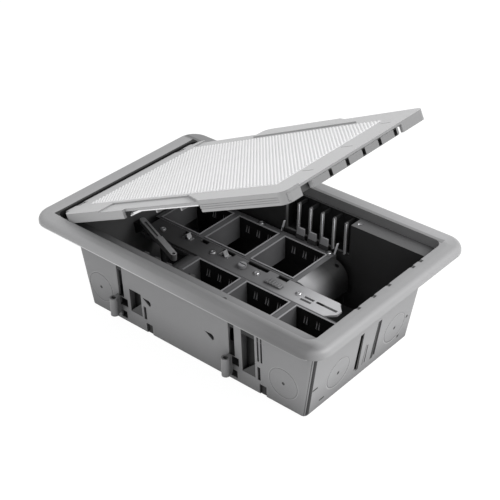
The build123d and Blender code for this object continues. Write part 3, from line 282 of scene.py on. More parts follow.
class Finish(Tree):
    """A material with a procedural surface."""

    def __init__(self, name):
        self.material = bpy.data.materials.new(name)
        self.material.use_nodes = True
        super().__init__(self.material.node_tree)
        self.tree.nodes.clear()
        where = self.node("ShaderNodeTexCoord")
        self.place = self.output_of(where, "Object")

    def noise(self, scale, detail, stretch=None):
        place = self.place
        if stretch:
            place = self.node("ShaderNodeMapping", None, {"Vector": place, "Scale": stretch})
        return self.node("ShaderNodeTexNoise", None, {
            "Vector": place, "Scale": scale, "Detail": detail, "Roughness": 0.55})

    def tint(self, colour, spread, mask):
        """Colour that gets lighter and darker with a mask from 0 to 1."""
        dark = tuple(channel * (1 - spread) for channel in colour)
        light = tuple(channel * (1 + spread) for channel in colour)
        return self.node("ShaderNodeMix", {"data_type": "RGBA"}, {
            0: mask, 6: (*dark, 1), 7: (*light, 1)}, output=2)

    def within(self, low, high):
        """Mask that is 1 inside a box of the object's own coordinates and 0 outside it."""
        apart = self.node("ShaderNodeSeparateXYZ", None, {"Vector": self.place})
        mask = 1.0
        for axis, least, most in zip("XYZ", low, high):
            value = self.output_of(apart, axis)
            mask = value.math("GREATER_THAN", least) * value.math("LESS_THAN", most) * mask
        return mask

    def along(self, axis, start, end):
        """Mask that rises evenly from 0 to 1 between two places on one of the object's own axes."""
        apart = self.node("ShaderNodeSeparateXYZ", None, {"Vector": self.place})
        return self.node("ShaderNodeMapRange", None, {
            "Value": self.output_of(apart, axis), "From Min": start, "From Max": end})

    def facing(self, axis, sign):
        """Mask that is 1 on faces that look along one of the object's own axes and 0 on the others."""
        where = self.node("ShaderNodeTexCoord")
        apart = self.node("ShaderNodeSeparateXYZ", None, {"Vector": self.output_of(where, "Normal")})
        return (self.output_of(apart, axis) * sign).largest(0.0)

    def wall(self, lengthwise, across, depths):
        """Mask between distances from the tub's middle at floor level, which shrink as the tub narrows
        downwards. A range that is even about the middle holds on both sides of it."""
        apart = self.node("ShaderNodeSeparateXYZ", None, {"Vector": self.place})
        depth = FLOOR_LINE - self.output_of(apart, "Z")
        mask = depth.math("GREATER_THAN", depths[0]) * depth.math("LESS_THAN", depths[1])
        for axis, lean, (least, most) in (("X", END_WALL_LEAN, lengthwise), ("Y", SIDE_WALL_LEAN, across)):
            value = self.output_of(apart, axis)
            if least == -most:
                away = value.math("ABSOLUTE") + depth * lean
            elif least + most > 0:
                away = value + depth * lean
            else:
                away = value - depth * lean
            mask = mask * away.math("GREATER_THAN", least) * away.math("LESS_THAN", most)
        return mask

    def ring(self, axes, centre, radius, width):
        """Mask that is 1 on a circular line seen along the third axis; a radius of 0 gives a disc."""
        apart = self.node("ShaderNodeSeparateXYZ", None, {"Vector": self.place})
        first, second = (self.output_of(apart, axis) - middle for axis, middle in zip(axes, centre))
        away = (first * first + second * second).math("SQRT") - radius
        return away.math("ABSOLUTE").math("LESS_THAN", width)

    def shaded(self, colour, amount, mask):
        """Colour made darker (or lighter, with a negative amount) where a mask is 1."""
        level = 1.0 - mask * amount
        return self.node("ShaderNodeVectorMath", {"operation": "SCALE"}, {0: colour, "Scale": level})

    def painted_recess_shade(self, colour, distance, depth):
        """Colour with painted shade, darker in recesses and under ledges."""
        near = self.node("ShaderNodeAmbientOcclusion", {"samples": 8}, {"Distance": distance})
        return self.shaded(colour, depth, 1.0 - self.output_of(near, "AO"))

    def rounded(self, radius):
        """Normal that rounds off the small edges a mould leaves."""
        return self.node("ShaderNodeBevel", {"samples": 4}, {"Radius": radius})

    def bump(self, height, strength, distance, normal):
        return self.node("ShaderNodeBump", None, {
            "Height": height, "Strength": strength, "Distance": distance, "Normal": normal})

    def surface(self, colour, roughness, normal, metallic=0.0, specular=0.5):
        shader = self.node("ShaderNodeBsdfPrincipled", None, {
            "Base Color": colour, "Roughness": roughness, "Normal": normal, "Metallic": metallic,
            "Specular IOR Level": specular})
        self.node("ShaderNodeOutputMaterial", None, {"Surface": shader})
        return self.material


def moulded_plastic(name, colour, roughness, grain=0.25, shelter=None, patches=(), fades=(), faces=(),
                    rings=(), walls=(), inside=0.0, specular=0.5):
    """Grey moulded plastic with fine spark-eroded grain, faint flow shading and soft edges.

    Each entry of a list paints light or shade: it darkens the colour by its last number, as painted shade, or
    lightens it where that is negative, as painted light:
    patches (low, high) are boxes; fades (low, high, runs) rise along axes;
    walls (lengthwise, across, depths) follow the tub's sloping walls;
    rings (low, high, axes, centre, radius, width) are circular lines, or discs with a radius of 0;
    faces (low, high, axis, sign) look one way.
    inside paints shade on the tub's inner faces, less on those that look along +X towards the key light, and
    shelter (distance, depth) paints shade in recesses."""
    flow_scale, grain_scale = 14.0, 2600.0
    flow_share = 0.7
    tone_spread = 0.07
    flow_gloss, grain_gloss = 0.10, 0.08
    grain_height = 0.00008
    edge = 0.0005
    lit_from_end = 0.6
    finish = Finish(name)
    flow = finish.noise(flow_scale, 2.0)
    speck = finish.noise(grain_scale, 2.0)
    mottle = flow * flow_share + speck * (1.0 - flow_share)
    tone = finish.tint(colour, tone_spread, mottle)
    # Painted light and painted shade from the lists of marks
    for low, high, amount in patches:
        tone = finish.shaded(tone, amount, finish.within(low, high))
    for low, high, runs, amount in fades:
        mask = finish.within(low, high)
        for run in runs:
            mask = mask * finish.along(*run)
        tone = finish.shaded(tone, amount, mask)
    for lengthwise, across, depths, amount in walls:
        tone = finish.shaded(tone, amount, finish.wall(lengthwise, across, depths))
    for low, high, axes, centre, radius, width, amount in rings:
        mask = finish.ring(axes, centre, radius, width) * finish.within(low, high)
        tone = finish.shaded(tone, amount, mask)
    for low, high, axis, sign, amount in faces:
        mask = finish.facing(axis, sign) * finish.within(low, high)
        tone = finish.shaded(tone, amount, mask)
    # Painted shade on the tub's inner faces, less on faces that look along +X towards the key light
    if inside:
        mask = finish.wall(*TUB_HOLLOW)
        tone = finish.shaded(tone, inside, mask * (1.0 - finish.facing("X", 1) * lit_from_end))
    # Painted shade in recesses and under ledges
    if shelter:
        tone = finish.painted_recess_shade(tone, *shelter)
    rough = roughness + (flow - 0.5) * flow_gloss + (speck - 0.5) * grain_gloss
    normal = finish.bump(speck, grain, grain_height, finish.rounded(edge))
    return finish.surface(tone, rough, normal, specular=specular)


def bright_steel(name, colour, roughness, stretch):
    """Bright drawn steel with fine lines along its length."""
    line_scale = 900.0
    tone_spread = 0.08
    line_gloss = 0.15
    line_strength, line_height = 0.15, 0.00003
    edge = 0.0002
    finish = Finish(name)
    lines = finish.noise(line_scale, 2.0, stretch)
    tone = finish.tint(colour, tone_spread, lines)
    rough = roughness + (lines - 0.5) * line_gloss
    normal = finish.bump(lines, line_strength, line_height, finish.rounded(edge))
    return finish.surface(tone, rough, normal, metallic=1.0)


# Geometry node trees

def geometry_tree(name, sockets):
    """Empty geometry group with named inputs; gives the tree and its inputs by name."""
    group = bpy.data.node_groups.new(name, "GeometryNodeTree")
    group.interface.new_socket("Geometry", in_out="INPUT", socket_type="NodeSocketGeometry")
    group.interface.new_socket("Geometry", in_out="OUTPUT", socket_type="NodeSocketGeometry")
    for label, kind in sockets:
        group.interface.new_socket(label, in_out="INPUT", socket_type="NodeSocket" + kind)
    tree = Tree(group)
    start = tree.node("NodeGroupInput")
    return tree, {socket.name: Value(tree, socket) for socket in start.socket.node.outputs if socket.name}


def close_tree(tree, instances, material):
    """Ends a tree in real faces with a material."""
    real = tree.node("GeometryNodeRealizeInstances", None, {"Geometry": instances})
    tree.node("NodeGroupOutput", None, {
        "Geometry": tree.node("GeometryNodeSetMaterial", None, {"Geometry": real, "Material": material})})


def grow(name, tree, values, source=None):
    """Runs a geometry tree on a new object and leaves its result as a plain mesh."""
    piece = bpy.data.objects.new(name, source or bpy.data.meshes.new(name))
    bpy.context.collection.objects.link(piece)
    modifier = piece.modifiers.new("Grow", "NODES")
    modifier.node_group = tree.tree
    for item in tree.tree.interface.items_tree:
        if item.in_out == "INPUT" and item.name in values:
            modifier[item.identifier] = values[item.name]
    evaluated = piece.evaluated_get(bpy.context.evaluated_depsgraph_get())
    mesh = bpy.data.meshes.new_from_object(evaluated)
    piece.modifiers.remove(modifier)
    piece.data = mesh
    mesh.name = name
    return piece


def tread_tree():
    """Half-round ridges at an angle across a rectangle, each cut to the rectangle's edges."""
    tree, given = geometry_tree("Lid tread", [
        ("Length", "Float"), ("Width", "Float"), ("Pitch", "Float"), ("Slant", "Float"),
        ("Ridge Width", "Float"), ("Ridge Height", "Float"), ("Material", "Material")])
    length, width, pitch, slant = (given[name] for name in ("Length", "Width", "Pitch", "Slant"))
    shortest = 0.0001
    reach = length + width * slant
    count = (reach / pitch).math("FLOOR")
    points = tree.node("GeometryNodePoints", None, {"Count": count})
    index = tree.node("GeometryNodeInputIndex")
    along = (index + 0.5) * pitch - count * pitch * 0.5
    low = (width * -0.5).largest((length * -0.5 - along) / slant)
    high = (width * 0.5).smallest((length * 0.5 - along) / slant)
    middle = (low + high) * 0.5
    run = ((high - low) * (slant * slant + 1.0).math("SQRT")).largest(shortest)
    turn = slant.math("ARCTANGENT")
    place = tree.node("ShaderNodeCombineXYZ", None, {"X": along + middle * slant, "Y": -middle})
    points = tree.node("GeometryNodeSetPosition", None, {"Geometry": points, "Position": place})
    bar = tree.node("GeometryNodeMeshCylinder", None, {"Vertices": 12, "Radius": 1.0, "Depth": 1.0})
    bar = tree.node("GeometryNodeTransform", None, {"Geometry": bar, "Rotation": (math.pi / 2, 0, 0)})
    size = tree.node("ShaderNodeCombineXYZ", None, {
        "X": given["Ridge Width"] * 0.5, "Y": run, "Z": given["Ridge Height"]})
    spin = tree.node("ShaderNodeCombineXYZ", None, {"Z": turn})
    ridges = tree.node("GeometryNodeInstanceOnPoints", None, {
        "Points": points, "Instance": bar, "Rotation": spin, "Scale": size})
    close_tree(tree, ridges, given["Material"])
    return tree


def fastener_tree():
    """One screw on each vertex of the source mesh."""
    tree, given = geometry_tree("Fasteners", [("Screw", "Object"), ("Material", "Material")])
    shape = tree.node("GeometryNodeObjectInfo", None, {"Object": given["Screw"]})
    shape = tree.output_of(shape, "Geometry")
    points = tree.node("GeometryNodeMeshToPoints", None, {"Mesh": given["Geometry"]})
    screws = tree.node("GeometryNodeInstanceOnPoints", None, {"Points": points, "Instance": shape})
    close_tree(tree, screws, given["Material"])
    return tree


def screw_shape(head, height, shaft, length):
    """Pan-head screw with a cross recess, seat at its origin, shaft downwards."""
    sides = 32
    tip = shaft * 0.5
    profile = [(shaft * 0.6, -length), (shaft, tip - length), (shaft, 0.0), (head, 0.0)]
    crown = ((1.0, 0.35), (0.93, 0.72), (0.78, 0.94), (0.66, 1.0))
    profile += [(head * across, height * up) for across, up in crown]
    mesh = bpy.data.meshes.new("screw")
    work = bmesh.new()
    rings = []
    for radius, z in profile:
        rings.append([work.verts.new((radius * math.cos(2 * math.pi * step / sides),
                                      radius * math.sin(2 * math.pi * step / sides), z))
                      for step in range(sides)])
    for lower, upper in zip(rings, rings[1:]):
        for step in range(sides):
            after = (step + 1) % sides
            work.faces.new((lower[step], lower[after], upper[after], upper[step]))
    work.faces.new(list(reversed(rings[0])))
    wide, slim, depth = head * 0.5, head * 0.14, height * 0.55
    narrowing = 0.7
    arm = [(wide, -slim), (wide, slim), (slim, slim)]
    cross = []
    for quarter in range(4):
        cross += arm
        arm = [(-y, x) for x, y in arm]
    mouth = [work.verts.new((x, y, height)) for x, y in cross]
    foot = [work.verts.new((x * narrowing, y * narrowing, height - depth)) for x, y in cross]
    edges = []
    for ring in (rings[-1], mouth):
        for step, vertex in enumerate(ring):
            other = ring[(step + 1) % len(ring)]
            edges.append(work.edges.get((vertex, other)) or work.edges.new((vertex, other)))
    bmesh.ops.triangle_fill(work, edges=edges, use_beauty=True)
    for step in range(len(cross)):
        after = (step + 1) % len(cross)
        work.faces.new((mouth[step], mouth[after], foot[after], foot[step]))
    work.faces.new(foot)
    bmesh.ops.recalc_face_normals(work, faces=work.faces)
    work.to_mesh(mesh)
    work.free()
    return mesh


def loose_centres(node, to_local):
    """Centre, bottom and top of each loose solid of a CAD node, in a local frame."""
    reach = 0.006
    mesh = frame["nodes"][node].data
    points = [to_local @ vertex.co for vertex in mesh.vertices]
    groups = []
    for point in points:
        for group in groups:
            if abs(group[0].x - point.x) < reach and abs(group[0].y - point.y) < reach:
                group.append(point)
                break
        else:
            groups.append([point])
    centres = []
    for group in groups:
        xs, ys, zs = ([point[axis] for point in group] for axis in range(3))
        centres.append(((min(xs) + max(xs)) / 2, (min(ys) + max(ys)) / 2, min(zs), max(zs)))
    return centres


def screw_set(name, node, body, material, local=None, flip=False):
    """Cross-head screws in place of a node of plain ones."""
    local = local or Matrix.Identity(4)
    settings = bpy.context.scene.floor_box_screws
    centres = loose_centres(node, local.inverted())
    spots = bpy.data.meshes.new(name + "_spots")
    if flip:
        spots.from_pydata([(x, y, -(low + settings.height)) for x, y, low, high in centres], [], [])
    else:
        spots.from_pydata([(x, y, high - settings.height) for x, y, low, high in centres], [], [])
    low, high = centres[0][2:]
    template = bpy.data.objects.new("screw", screw_shape(
        settings.head, settings.height, settings.shaft, high - low - settings.height))
    bpy.context.collection.objects.link(template)
    piece = grow(name, fastener_tree(), {"Screw": template, "Material": material}, spots)
    bpy.data.objects.remove(template)
    if flip:
        piece.data.transform(Matrix.Scale(-1, 4, (0, 0, 1)))
        piece.data.flip_normals()
    piece.data.transform(local)
    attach(piece, body)
    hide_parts(node)
    return piece


def dress_with(piece, material):
    """Gives an object its only material."""
    piece.data.materials.clear()
    piece.data.materials.append(material)


def dress(node, material):
    """Gives a CAD node its finish."""
    dress_with(frame["nodes"][node], material)


# Settings

class FloorBoxFinishes(bpy.types.PropertyGroup):
    tub: FloatVectorProperty(
        name="Tub", description="Colour of the tub", subtype="COLOR", default=(0.29, 0.29, 0.295))
    trim: FloatVectorProperty(
        name="Trim", description="Colour of the trim frame", subtype="COLOR", default=(0.34, 0.34, 0.345))
    rows: FloatVectorProperty(
        name="Rows", description="Colour of the socket rows", subtype="COLOR", default=(0.15, 0.15, 0.155))
    rail: FloatVectorProperty(
        name="Rail", description="Colour of the rail and guides", subtype="COLOR",
        default=(0.20, 0.20, 0.205))
    lid: FloatVectorProperty(
        name="Lid", description="Colour of the lid frame and covers", subtype="COLOR",
        default=(0.50, 0.50, 0.505))
    plate: FloatVectorProperty(
        name="Plate", description="Colour of the lid plate", subtype="COLOR", default=(0.79, 0.79, 0.80))
    ridge: FloatVectorProperty(
        name="Ridges", description="Colour of the plate's ridges", subtype="COLOR",
        default=(0.86, 0.86, 0.865))
    steel: FloatVectorProperty(
        name="Steel", description="Colour of the screws and strips", subtype="COLOR",
        default=(0.80, 0.80, 0.81))
    track: FloatVectorProperty(
        name="Track", description="Colour of the dark strip behind the latch", subtype="COLOR",
        default=(0.10, 0.10, 0.10))
    roughness: FloatProperty(
        name="Roughness", description="Roughness of the moulded plastic", subtype="FACTOR",
        min=0, max=1, default=0.42)


class FloorBoxTread(bpy.types.PropertyGroup):
    pitch: FloatProperty(
        name="Pitch", description="Distance between ridges along the lid", unit="LENGTH", default=0.0037)
    slant: FloatProperty(
        name="Slant", description="How far a ridge runs along the lid for each metre across it",
        default=0.94)
    width: FloatProperty(
        name="Width", description="Width of a ridge", unit="LENGTH", default=0.0019)
    height: FloatProperty(
        name="Height", description="Height of a ridge", unit="LENGTH", default=0.0006)
    margin: FloatProperty(
        name="Margin", description="Bare edge of the plate around the ridges", unit="LENGTH",
        default=0.001)


class FloorBoxScrews(bpy.types.PropertyGroup):
    head: FloatProperty(
        name="Head", description="Radius of a screw head", unit="LENGTH", default=0.0028)
    height: FloatProperty(
        name="Height", description="Height of a screw head", unit="LENGTH", default=0.0016)
    shaft: FloatProperty(
        name="Shaft", description="Radius of a screw's shaft", unit="LENGTH", default=0.0014)


class FloorBoxStudio(bpy.types.PropertyGroup):
    key: FloatProperty(
        name="Key light", description="Power of the light from the right", unit="POWER", default=14.0)
    fill: FloatProperty(
        name="Fill light", description="Power of the light from the front", unit="POWER", default=3.0)
    world: FloatProperty(
        name="World", description="Strength of the even light from all round", default=0.62)
    lens: FloatProperty(
        name="Lens", description="Focal length in millimetres", default=87.2)


# Pieces

class FLOORBOX_OT_tub(bpy.types.Operator):
    """Finish the tub and the trim frame"""
    bl_idname = "floorbox.tub"
    bl_label = "Tub and trim"

    def execute(self, context):
        colours = context.scene.floor_box_finishes
        # Painted light on the far end wall's faces that look along +X, towards the key light
        painted_light_end_wall = (FAR_END_START, *TUB_LOW[1:]), (*TUB_HIGH[:2], FLOOR_LINE), "X", 1, -0.16
        # The tub's plastic gets painted shade in recesses, on its inner faces, in the pockets, the niche and the
        # end wall's marks, and painted light on the niche's ribs, in the screw tube and along the knockouts'
        # grooves
        tub = moulded_plastic("box_plastic", colours.tub, colours.roughness, shelter=(0.03, 0.75),
                              patches=self.pockets() + self.niche(), rings=self.knockouts(),
                              walls=self.far_end(), faces=(painted_light_end_wall,), inside=0.85, specular=0.2)
        trim = moulded_plastic("trim_plastic", colours.trim, colours.roughness, patches=self.rims(),
                               fades=self.bands())
        # The membranes get the same painted shade as the tub's inner faces
        membrane = moulded_plastic("membrane_plastic", colours.tub, colours.roughness, inside=0.9,
                                   specular=0.2)
        dress("tub", tub)
        dress("trim_frame", trim)
        dress_with(self.membranes(), membrane)
        return {"FINISHED"}

    def pockets(self):
        """Boxes of painted shade in the deep wall pockets and the foot notches, and above the front slots."""
        dark, darkest = 0.8, 0.9
        boxes = []
        for start, top in zip(STATIONS, POCKET_TOPS):
            low, high = FLOOR_LINE - POCKET_FOOT, FLOOR_LINE - top
            boxes.append(((start, -POCKET_FACE, low), (start + POCKET_WIDTH, -POCKET_BACK, high), dark))
            rear = -start - REAR_STATION_SHIFT
            boxes.append(((rear - POCKET_WIDTH, POCKET_BACK, low), (rear, POCKET_FACE, high), dark))
            foot = start + FOOT_NOTCH_PLACE
            boxes.append(((foot, -FOOT_NOTCH_FACE, 0.0),
                          (foot + FOOT_NOTCH_WIDTH, -FOOT_NOTCH_BACK, FLOOR_LINE - FOOT_NOTCH_TOP), dark))
        shades = [(start + CLAW_SLOT_PLACE, CLAW_SLOT_WIDTH) for start in STATIONS]
        shades.append((STATION, POCKET_WIDTH))
        shades += [(STATION + place, TWIN_SLOT_WIDTH) for place in TWIN_SLOT_PLACES]
        foot = FLOOR_LINE - SHADE_FOOT
        for start, width in shades:
            boxes.append(((start, -SHADE_FACE, foot),
                          (start + width, -SHADE_BACK, foot + SHADE_HEIGHT), darkest))
        return boxes

    def niche(self):
        """Painted shade in the dark niche and on the ledge behind it, and painted light on its ribs and in the
        screw tube.
        """
        niche, ledge, rib, light = 0.93, 0.5, -7.0, -4.0
        low, high = FLOOR_LINE - NICHE_FOOT, FLOOR_LINE - NICHE_TOP
        front, back = NICHE_WALL
        boxes = [((NICHE_START, front, low), (NICHE_END, back, high), niche)]
        front, back = LEDGE_FACE
        boxes.append(((-0.13, front, high - 0.0012), (0.14, back, high + 0.0004), ledge))
        front, back = NICHE_RIB_FACE
        for index in range(NICHE_RIB_COUNT):
            x = NICHE_RIB_FIRST + NICHE_RIB_PITCH * index
            boxes.append(((x - NICHE_RIB_HALF, front, low), (x + NICHE_RIB_HALF, back, high), rib))
        x, y = TUBE_PLACE
        top, foot = TUBE_MOUTH
        boxes.append(((x - TUBE_HALF, y - TUBE_HALF, FLOOR_LINE - foot),
                      (x + TUBE_HALF, y + TUBE_HALF, FLOOR_LINE - top), light))
        return boxes

    def far_end(self):
        """Painted shade in the grooves, slots and pin marks on the outside of the end wall away from the hinge."""
        groove, slot, corner, pin = 0.97, 0.6, 0.9, 0.95
        marks = [(END_WALL_FACE, (place - END_GROOVE_HALF, place + END_GROOVE_HALF), END_GROOVE_DEPTHS,
                  groove) for place in END_GROOVES]
        marks.append((END_WALL_FACE, END_SLOT, END_SLOT_DEPTHS, slot))
        marks.append((END_WALL_FACE, END_CORNER_GROOVE, END_CORNER_DEPTHS, corner))
        for place, depth, half_width, half_height in END_PINS:
            place += math.copysign(SIDE_WALL_LEAN * depth, place)
            marks.append((END_WALL_FACE, (place - half_width, place + half_width),
                          (depth - half_height, depth + half_height), pin))
        return marks

    def knockouts(self):
        """Faint painted light along the knockouts' grooves and painted shade in their centre marks, on the front
        and on the far end.
        """
        groove, centre = -0.35, 0.75
        z = FLOOR_LINE - KNOCKOUT_DEPTH
        top = z + 2 * KNOCKOUT_RADIUS
        rings = []
        for low, high, axes, places in (
                (TUB_LOW, (TUB_HIGH[0], FRONT_WALL_BACK, top), "XZ", KNOCKOUTS_FRONT),
                ((FAR_END_START, *TUB_LOW[1:]), (*TUB_HIGH[:2], top), "YZ", KNOCKOUTS_END)):
            for place in places:
                rings.append((low, high, axes, (place, z), KNOCKOUT_RADIUS, KNOCKOUT_GROOVE_HALF, groove))
                rings.append((low, high, axes, (place, z), 0.0, KNOCKOUT_CENTRE, centre))
        return rings

    def rims(self):
        """Painted shade on the rear band's inner face, which looks away from the light, a painted highlight along
        the lower edge of the front, and painted shade in the gap behind the lid's hinge edge and in the catches."""
        inner, edge, gap, catch = 0.35, -0.8, 0.95, 0.9
        low, high = FLOOR_LINE - TRIM_BELOW, FLOOR_LINE + TRIM_ABOVE
        start, end = REAR_INNER_FACE
        boxes = [((-BAND_HALF_LENGTH, start, low), (OPENING_HALF_LENGTH, end, high - 0.002), inner)]
        start, end = FRONT_LOWER_EDGE
        boxes.append(((-BAND_HALF_LENGTH, start, FLOOR_LINE - LOWER_EDGE_BELOW),
                      (BAND_HALF_LENGTH, end, FLOOR_LINE + LOWER_EDGE_ABOVE), edge))
        start, end = HINGE_GAP
        boxes.append(((start, -OPENING_HALF_WIDTH, low), (end, OPENING_HALF_WIDTH, high), gap))
        start, end = CATCH_REACH
        for y in CATCH_PLACES:
            boxes.append(((start, y - CATCH_HALF, low + 0.005), (end, y + CATCH_HALF, high), catch))
        return boxes

    def bands(self):
        """Painted shade and light: the front band darkens to the right and the rear band to the left, and the rear
        band gets lighter to the right.
        """
        dark, dim, light = 0.55, 0.3, -0.2
        low, high = FLOOR_LINE - TRIM_BELOW, FLOOR_LINE + BAND_ABOVE
        front = (-0.16, -0.11, low), (0.16, -0.08, high)
        right, outwards, before_corner = ("X", -0.04, 0.11), ("Y", -0.084, -0.092), ("X", 0.156, 0.143)
        bands = [(*front, (right, outwards, before_corner), dark)]
        rear = (-0.16, OPENING_HALF_WIDTH, low), (0.16, 0.11, high)
        left, right, before_corner = ("X", 0.10, -0.15), ("X", 0.0, 0.11), ("X", 0.150, 0.136)
        return bands + [(*rear, (left,), dim), (*rear, (right, before_corner), light)]

    def membranes(self):
        """Thin moulded membranes that close the windows in the rear wall."""
        mesh = bpy.data.meshes.new("wall_membranes")
        work = bmesh.new()
        for station in reversed(STATIONS):
            for start, width, y, top, foot in REAR_WINDOWS:
                middle = (station + start + width / 2, y, FLOOR_LINE - (top + foot) / 2)
                size = Matrix.Diagonal((width, MEMBRANE, foot - top, 1))
                bmesh.ops.create_cube(work, size=1.0, matrix=Matrix.Translation(middle) @ size)
        work.to_mesh(mesh)
        work.free()
        piece = bpy.data.objects.new("wall_membranes", mesh)
        bpy.context.collection.objects.link(piece)
        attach(piece, "box")
        return piece


class FLOORBOX_OT_inside(bpy.types.Operator):
    """Finish the socket rows, rail, cable guides and arm"""
    bl_idname = "floorbox.inside"
    bl_label = "Rows and rail"

    def execute(self, context):
        colours = context.scene.floor_box_finishes
        rows = self.rows(colours)
        rail = self.rail(colours)
        for node in ("rear_socket_row", "front_socket_row", "rail_knob"):
            dress(node, rows)
        for node in ("centre_rail", "rail_lock", "front_cable_guide"):
            dress(node, rail)
        dress("rear_cable_guide", self.guide(colours))
        dress("front_cable_arm", self.arm(colours))
        dress("rail_clips", bright_steel("clip_steel", colours.steel, 0.34, (1, 6, 1)))
        return {"FINISHED"}

    def rows(self, colours):
        """Dark rows with painted shade, darkest on the faces under the lips that look to the front."""
        # Painted shade on the faces below the lips that look to the front
        shaded_front_faces = TUB_LOW, (*TUB_HIGH[:2], FLOOR_LINE - ROW_LIP), "Y", -1, 0.93
        return moulded_plastic("row_plastic", colours.rows, colours.roughness, shelter=(0.02, 0.6),
                               patches=self.edges() + self.teeth(), faces=(shaded_front_faces,), specular=0.25)

    def edges(self):
        """Boxes of painted light over the lips and pegs, which catch the light, and of painted shade on the row's
        outer side and the tab's edge.
        """
        lip, outer, tab, peg = -1.6, 0.9, 0.8, -1.5
        low, high = FLOOR_LINE - ROW_LIP, FLOOR_LINE - PEG_TOP
        boxes = [((-0.13, -0.08, low), (0.13, 0.08, high), lip)]
        front, back = ROW_OUTER_SIDE
        boxes.append(((-0.13, front, 0.0), (0.13, back, low), outer))
        front, back = PEG_SIDES
        (start, end), height = TABS, 0.0045
        boxes.append(((start, front + 0.0005, low), (end, back, low + height), tab))
        for start, end in PEG_PLACES:
            boxes.append(((start, front, low), (end, back, high), peg))
        return boxes

    def teeth(self):
        """Boxes of painted highlight over the two edges of each snap tooth, three on each socket."""
        light = -18.0
        low, high = FLOOR_LINE - TOOTH_FOOT, FLOOR_LINE - TOOTH_TOP
        boxes = []
        for row in (-1, 1):
            inner = row * ROW_CENTRE + SOCKET_HALF
            for index in range(9):
                socket, tooth = divmod(index, 3)
                middle = row * (SOCKET_PITCH * (socket - 1) + TEETH_PITCH * (tooth - 1) - ROW_SHIFT)
                for edge in (middle - TOOTH_HALF, middle + TOOTH_HALF):
                    boxes.append(((edge - TOOTH_EDGE, inner, low),
                                  (edge + TOOTH_EDGE, inner + TOOTH_DEPTH, high), light))
        return boxes

    def rail(self, colours):
        """Rail with painted shade in its slots and towards the hinge end, and painted light towards its free end.
        """
        slot, short_slot, edge_slot = 0.9, 0.85, 0.93
        low, high = FLOOR_LINE - ROW_TOP - 0.004, TUB_HIGH[2]
        start, end = RAIL_LONG_SLOT
        slots = [((start, -RAIL_SLOT_HALF, low), (end, RAIL_SLOT_HALF, high), slot)]
        start, end = RAIL_SHORT_SLOT
        front, back = RAIL_SHORT_SLOT_SIDES
        slots.append(((start, front, low), (end, back, high), short_slot))
        front, back = RAIL_EDGE_SLOT_SIDES
        slots += [((start, front, low), (end, back, high), edge_slot) for start, end in RAIL_EDGE_SLOTS]
        fades = ((TUB_LOW, TUB_HIGH, (("X", 0.03, 0.09),), -2.2),
                 (TUB_LOW, TUB_HIGH, (("X", 0.01, -0.06),), 0.6))
        return moulded_plastic("rail_plastic", colours.rail, colours.roughness, shelter=(0.012, 0.6),
                               patches=slots, fades=fades)

    def guide(self, colours):
        """Cable guide with painted light beside the rail, and painted shade towards the wall and on its faces that
        look along +X.
        """
        fades = ((TUB_LOW, TUB_HIGH, (("Y", 0.022, 0.045),), 0.85),
                 (TUB_LOW, TUB_HIGH, (("Y", 0.040, 0.020),), -1.6))
        return moulded_plastic("guide_plastic", colours.rail, colours.roughness, shelter=(0.012, 0.5),
                               fades=fades, faces=((TUB_LOW, TUB_HIGH, "X", 1, 0.6),), specular=0.3)

    def arm(self, colours):
        """Cable arm with painted light on its top and painted shade on its sides."""
        faces = [(TUB_LOW, TUB_HIGH, axis, sign, amount)
                 for axis, sign, amount in (("Y", -1, 0.6), ("X", 1, 0.3), ("Z", 1, -0.5))]
        return moulded_plastic("arm_plastic", colours.trim, colours.roughness, shelter=(0.012, 0.6),
                               faces=faces)


class FLOORBOX_OT_lid(bpy.types.Operator):
    """Finish the lid frame, its covers, latch and steel parts"""
    bl_idname = "floorbox.lid"
    bl_label = "Lid"

    def execute(self, context):
        colours = context.scene.floor_box_finishes
        # Painted shade on the lid's hinge edge, in the gap beside the trim
        painted_hinge_shade = ((-BAND_HALF_LENGTH, -OPENING_HALF_WIDTH, 0.0),
                      (LID_HINGE_EDGE, OPENING_HALF_WIDTH, 0.2), 0.95)
        # Painted shade on the lid's faces that look along +X and to the front, and painted light on its top
        sides = [(ALL_LOW, ALL_HIGH, axis, sign, amount)
                 for axis, sign, amount in (("X", 1, 0.58), ("Y", -1, 0.17), ("Z", 1, -0.12))]
        lid = moulded_plastic("lid_plastic", colours.lid, colours.roughness, patches=(painted_hinge_shade,),
                              faces=sides)
        # The latch gets painted shade on its faces that look along +X and inside its notches
        latch = moulded_plastic("latch_plastic", colours.lid, colours.roughness, patches=self.notches(),
                                faces=((ALL_LOW, ALL_HIGH, "X", 1, 0.65),))
        for node in ("lid_frame", "front_shutter", "rear_shutter"):
            dress(node, lid)
        dress("latch_slider", latch)
        steel = bright_steel("strip_steel", colours.steel, 0.22, (0.2, 4, 4))
        for node in ("lid_stiffener", "hinge_pins", "front_guide_strip", "rear_guide_strip"):
            dress(node, steel)
        dress("latch_track", bright_steel("track_steel", colours.track, 0.4, (4, 0.2, 4)))
        return {"FINISHED"}

    def notches(self):
        """Boxes of painted shade inside the latch's notches."""
        dark = 0.93
        places = [LATCH_NOTCH_FIRST - LATCH_NOTCH_PITCH * index for index in range(LATCH_NOTCH_COUNT)]
        return [((-1, place - LATCH_NOTCH_HALF, -1), (1, place + LATCH_NOTCH_HALF, 1), dark)
                for place in places]


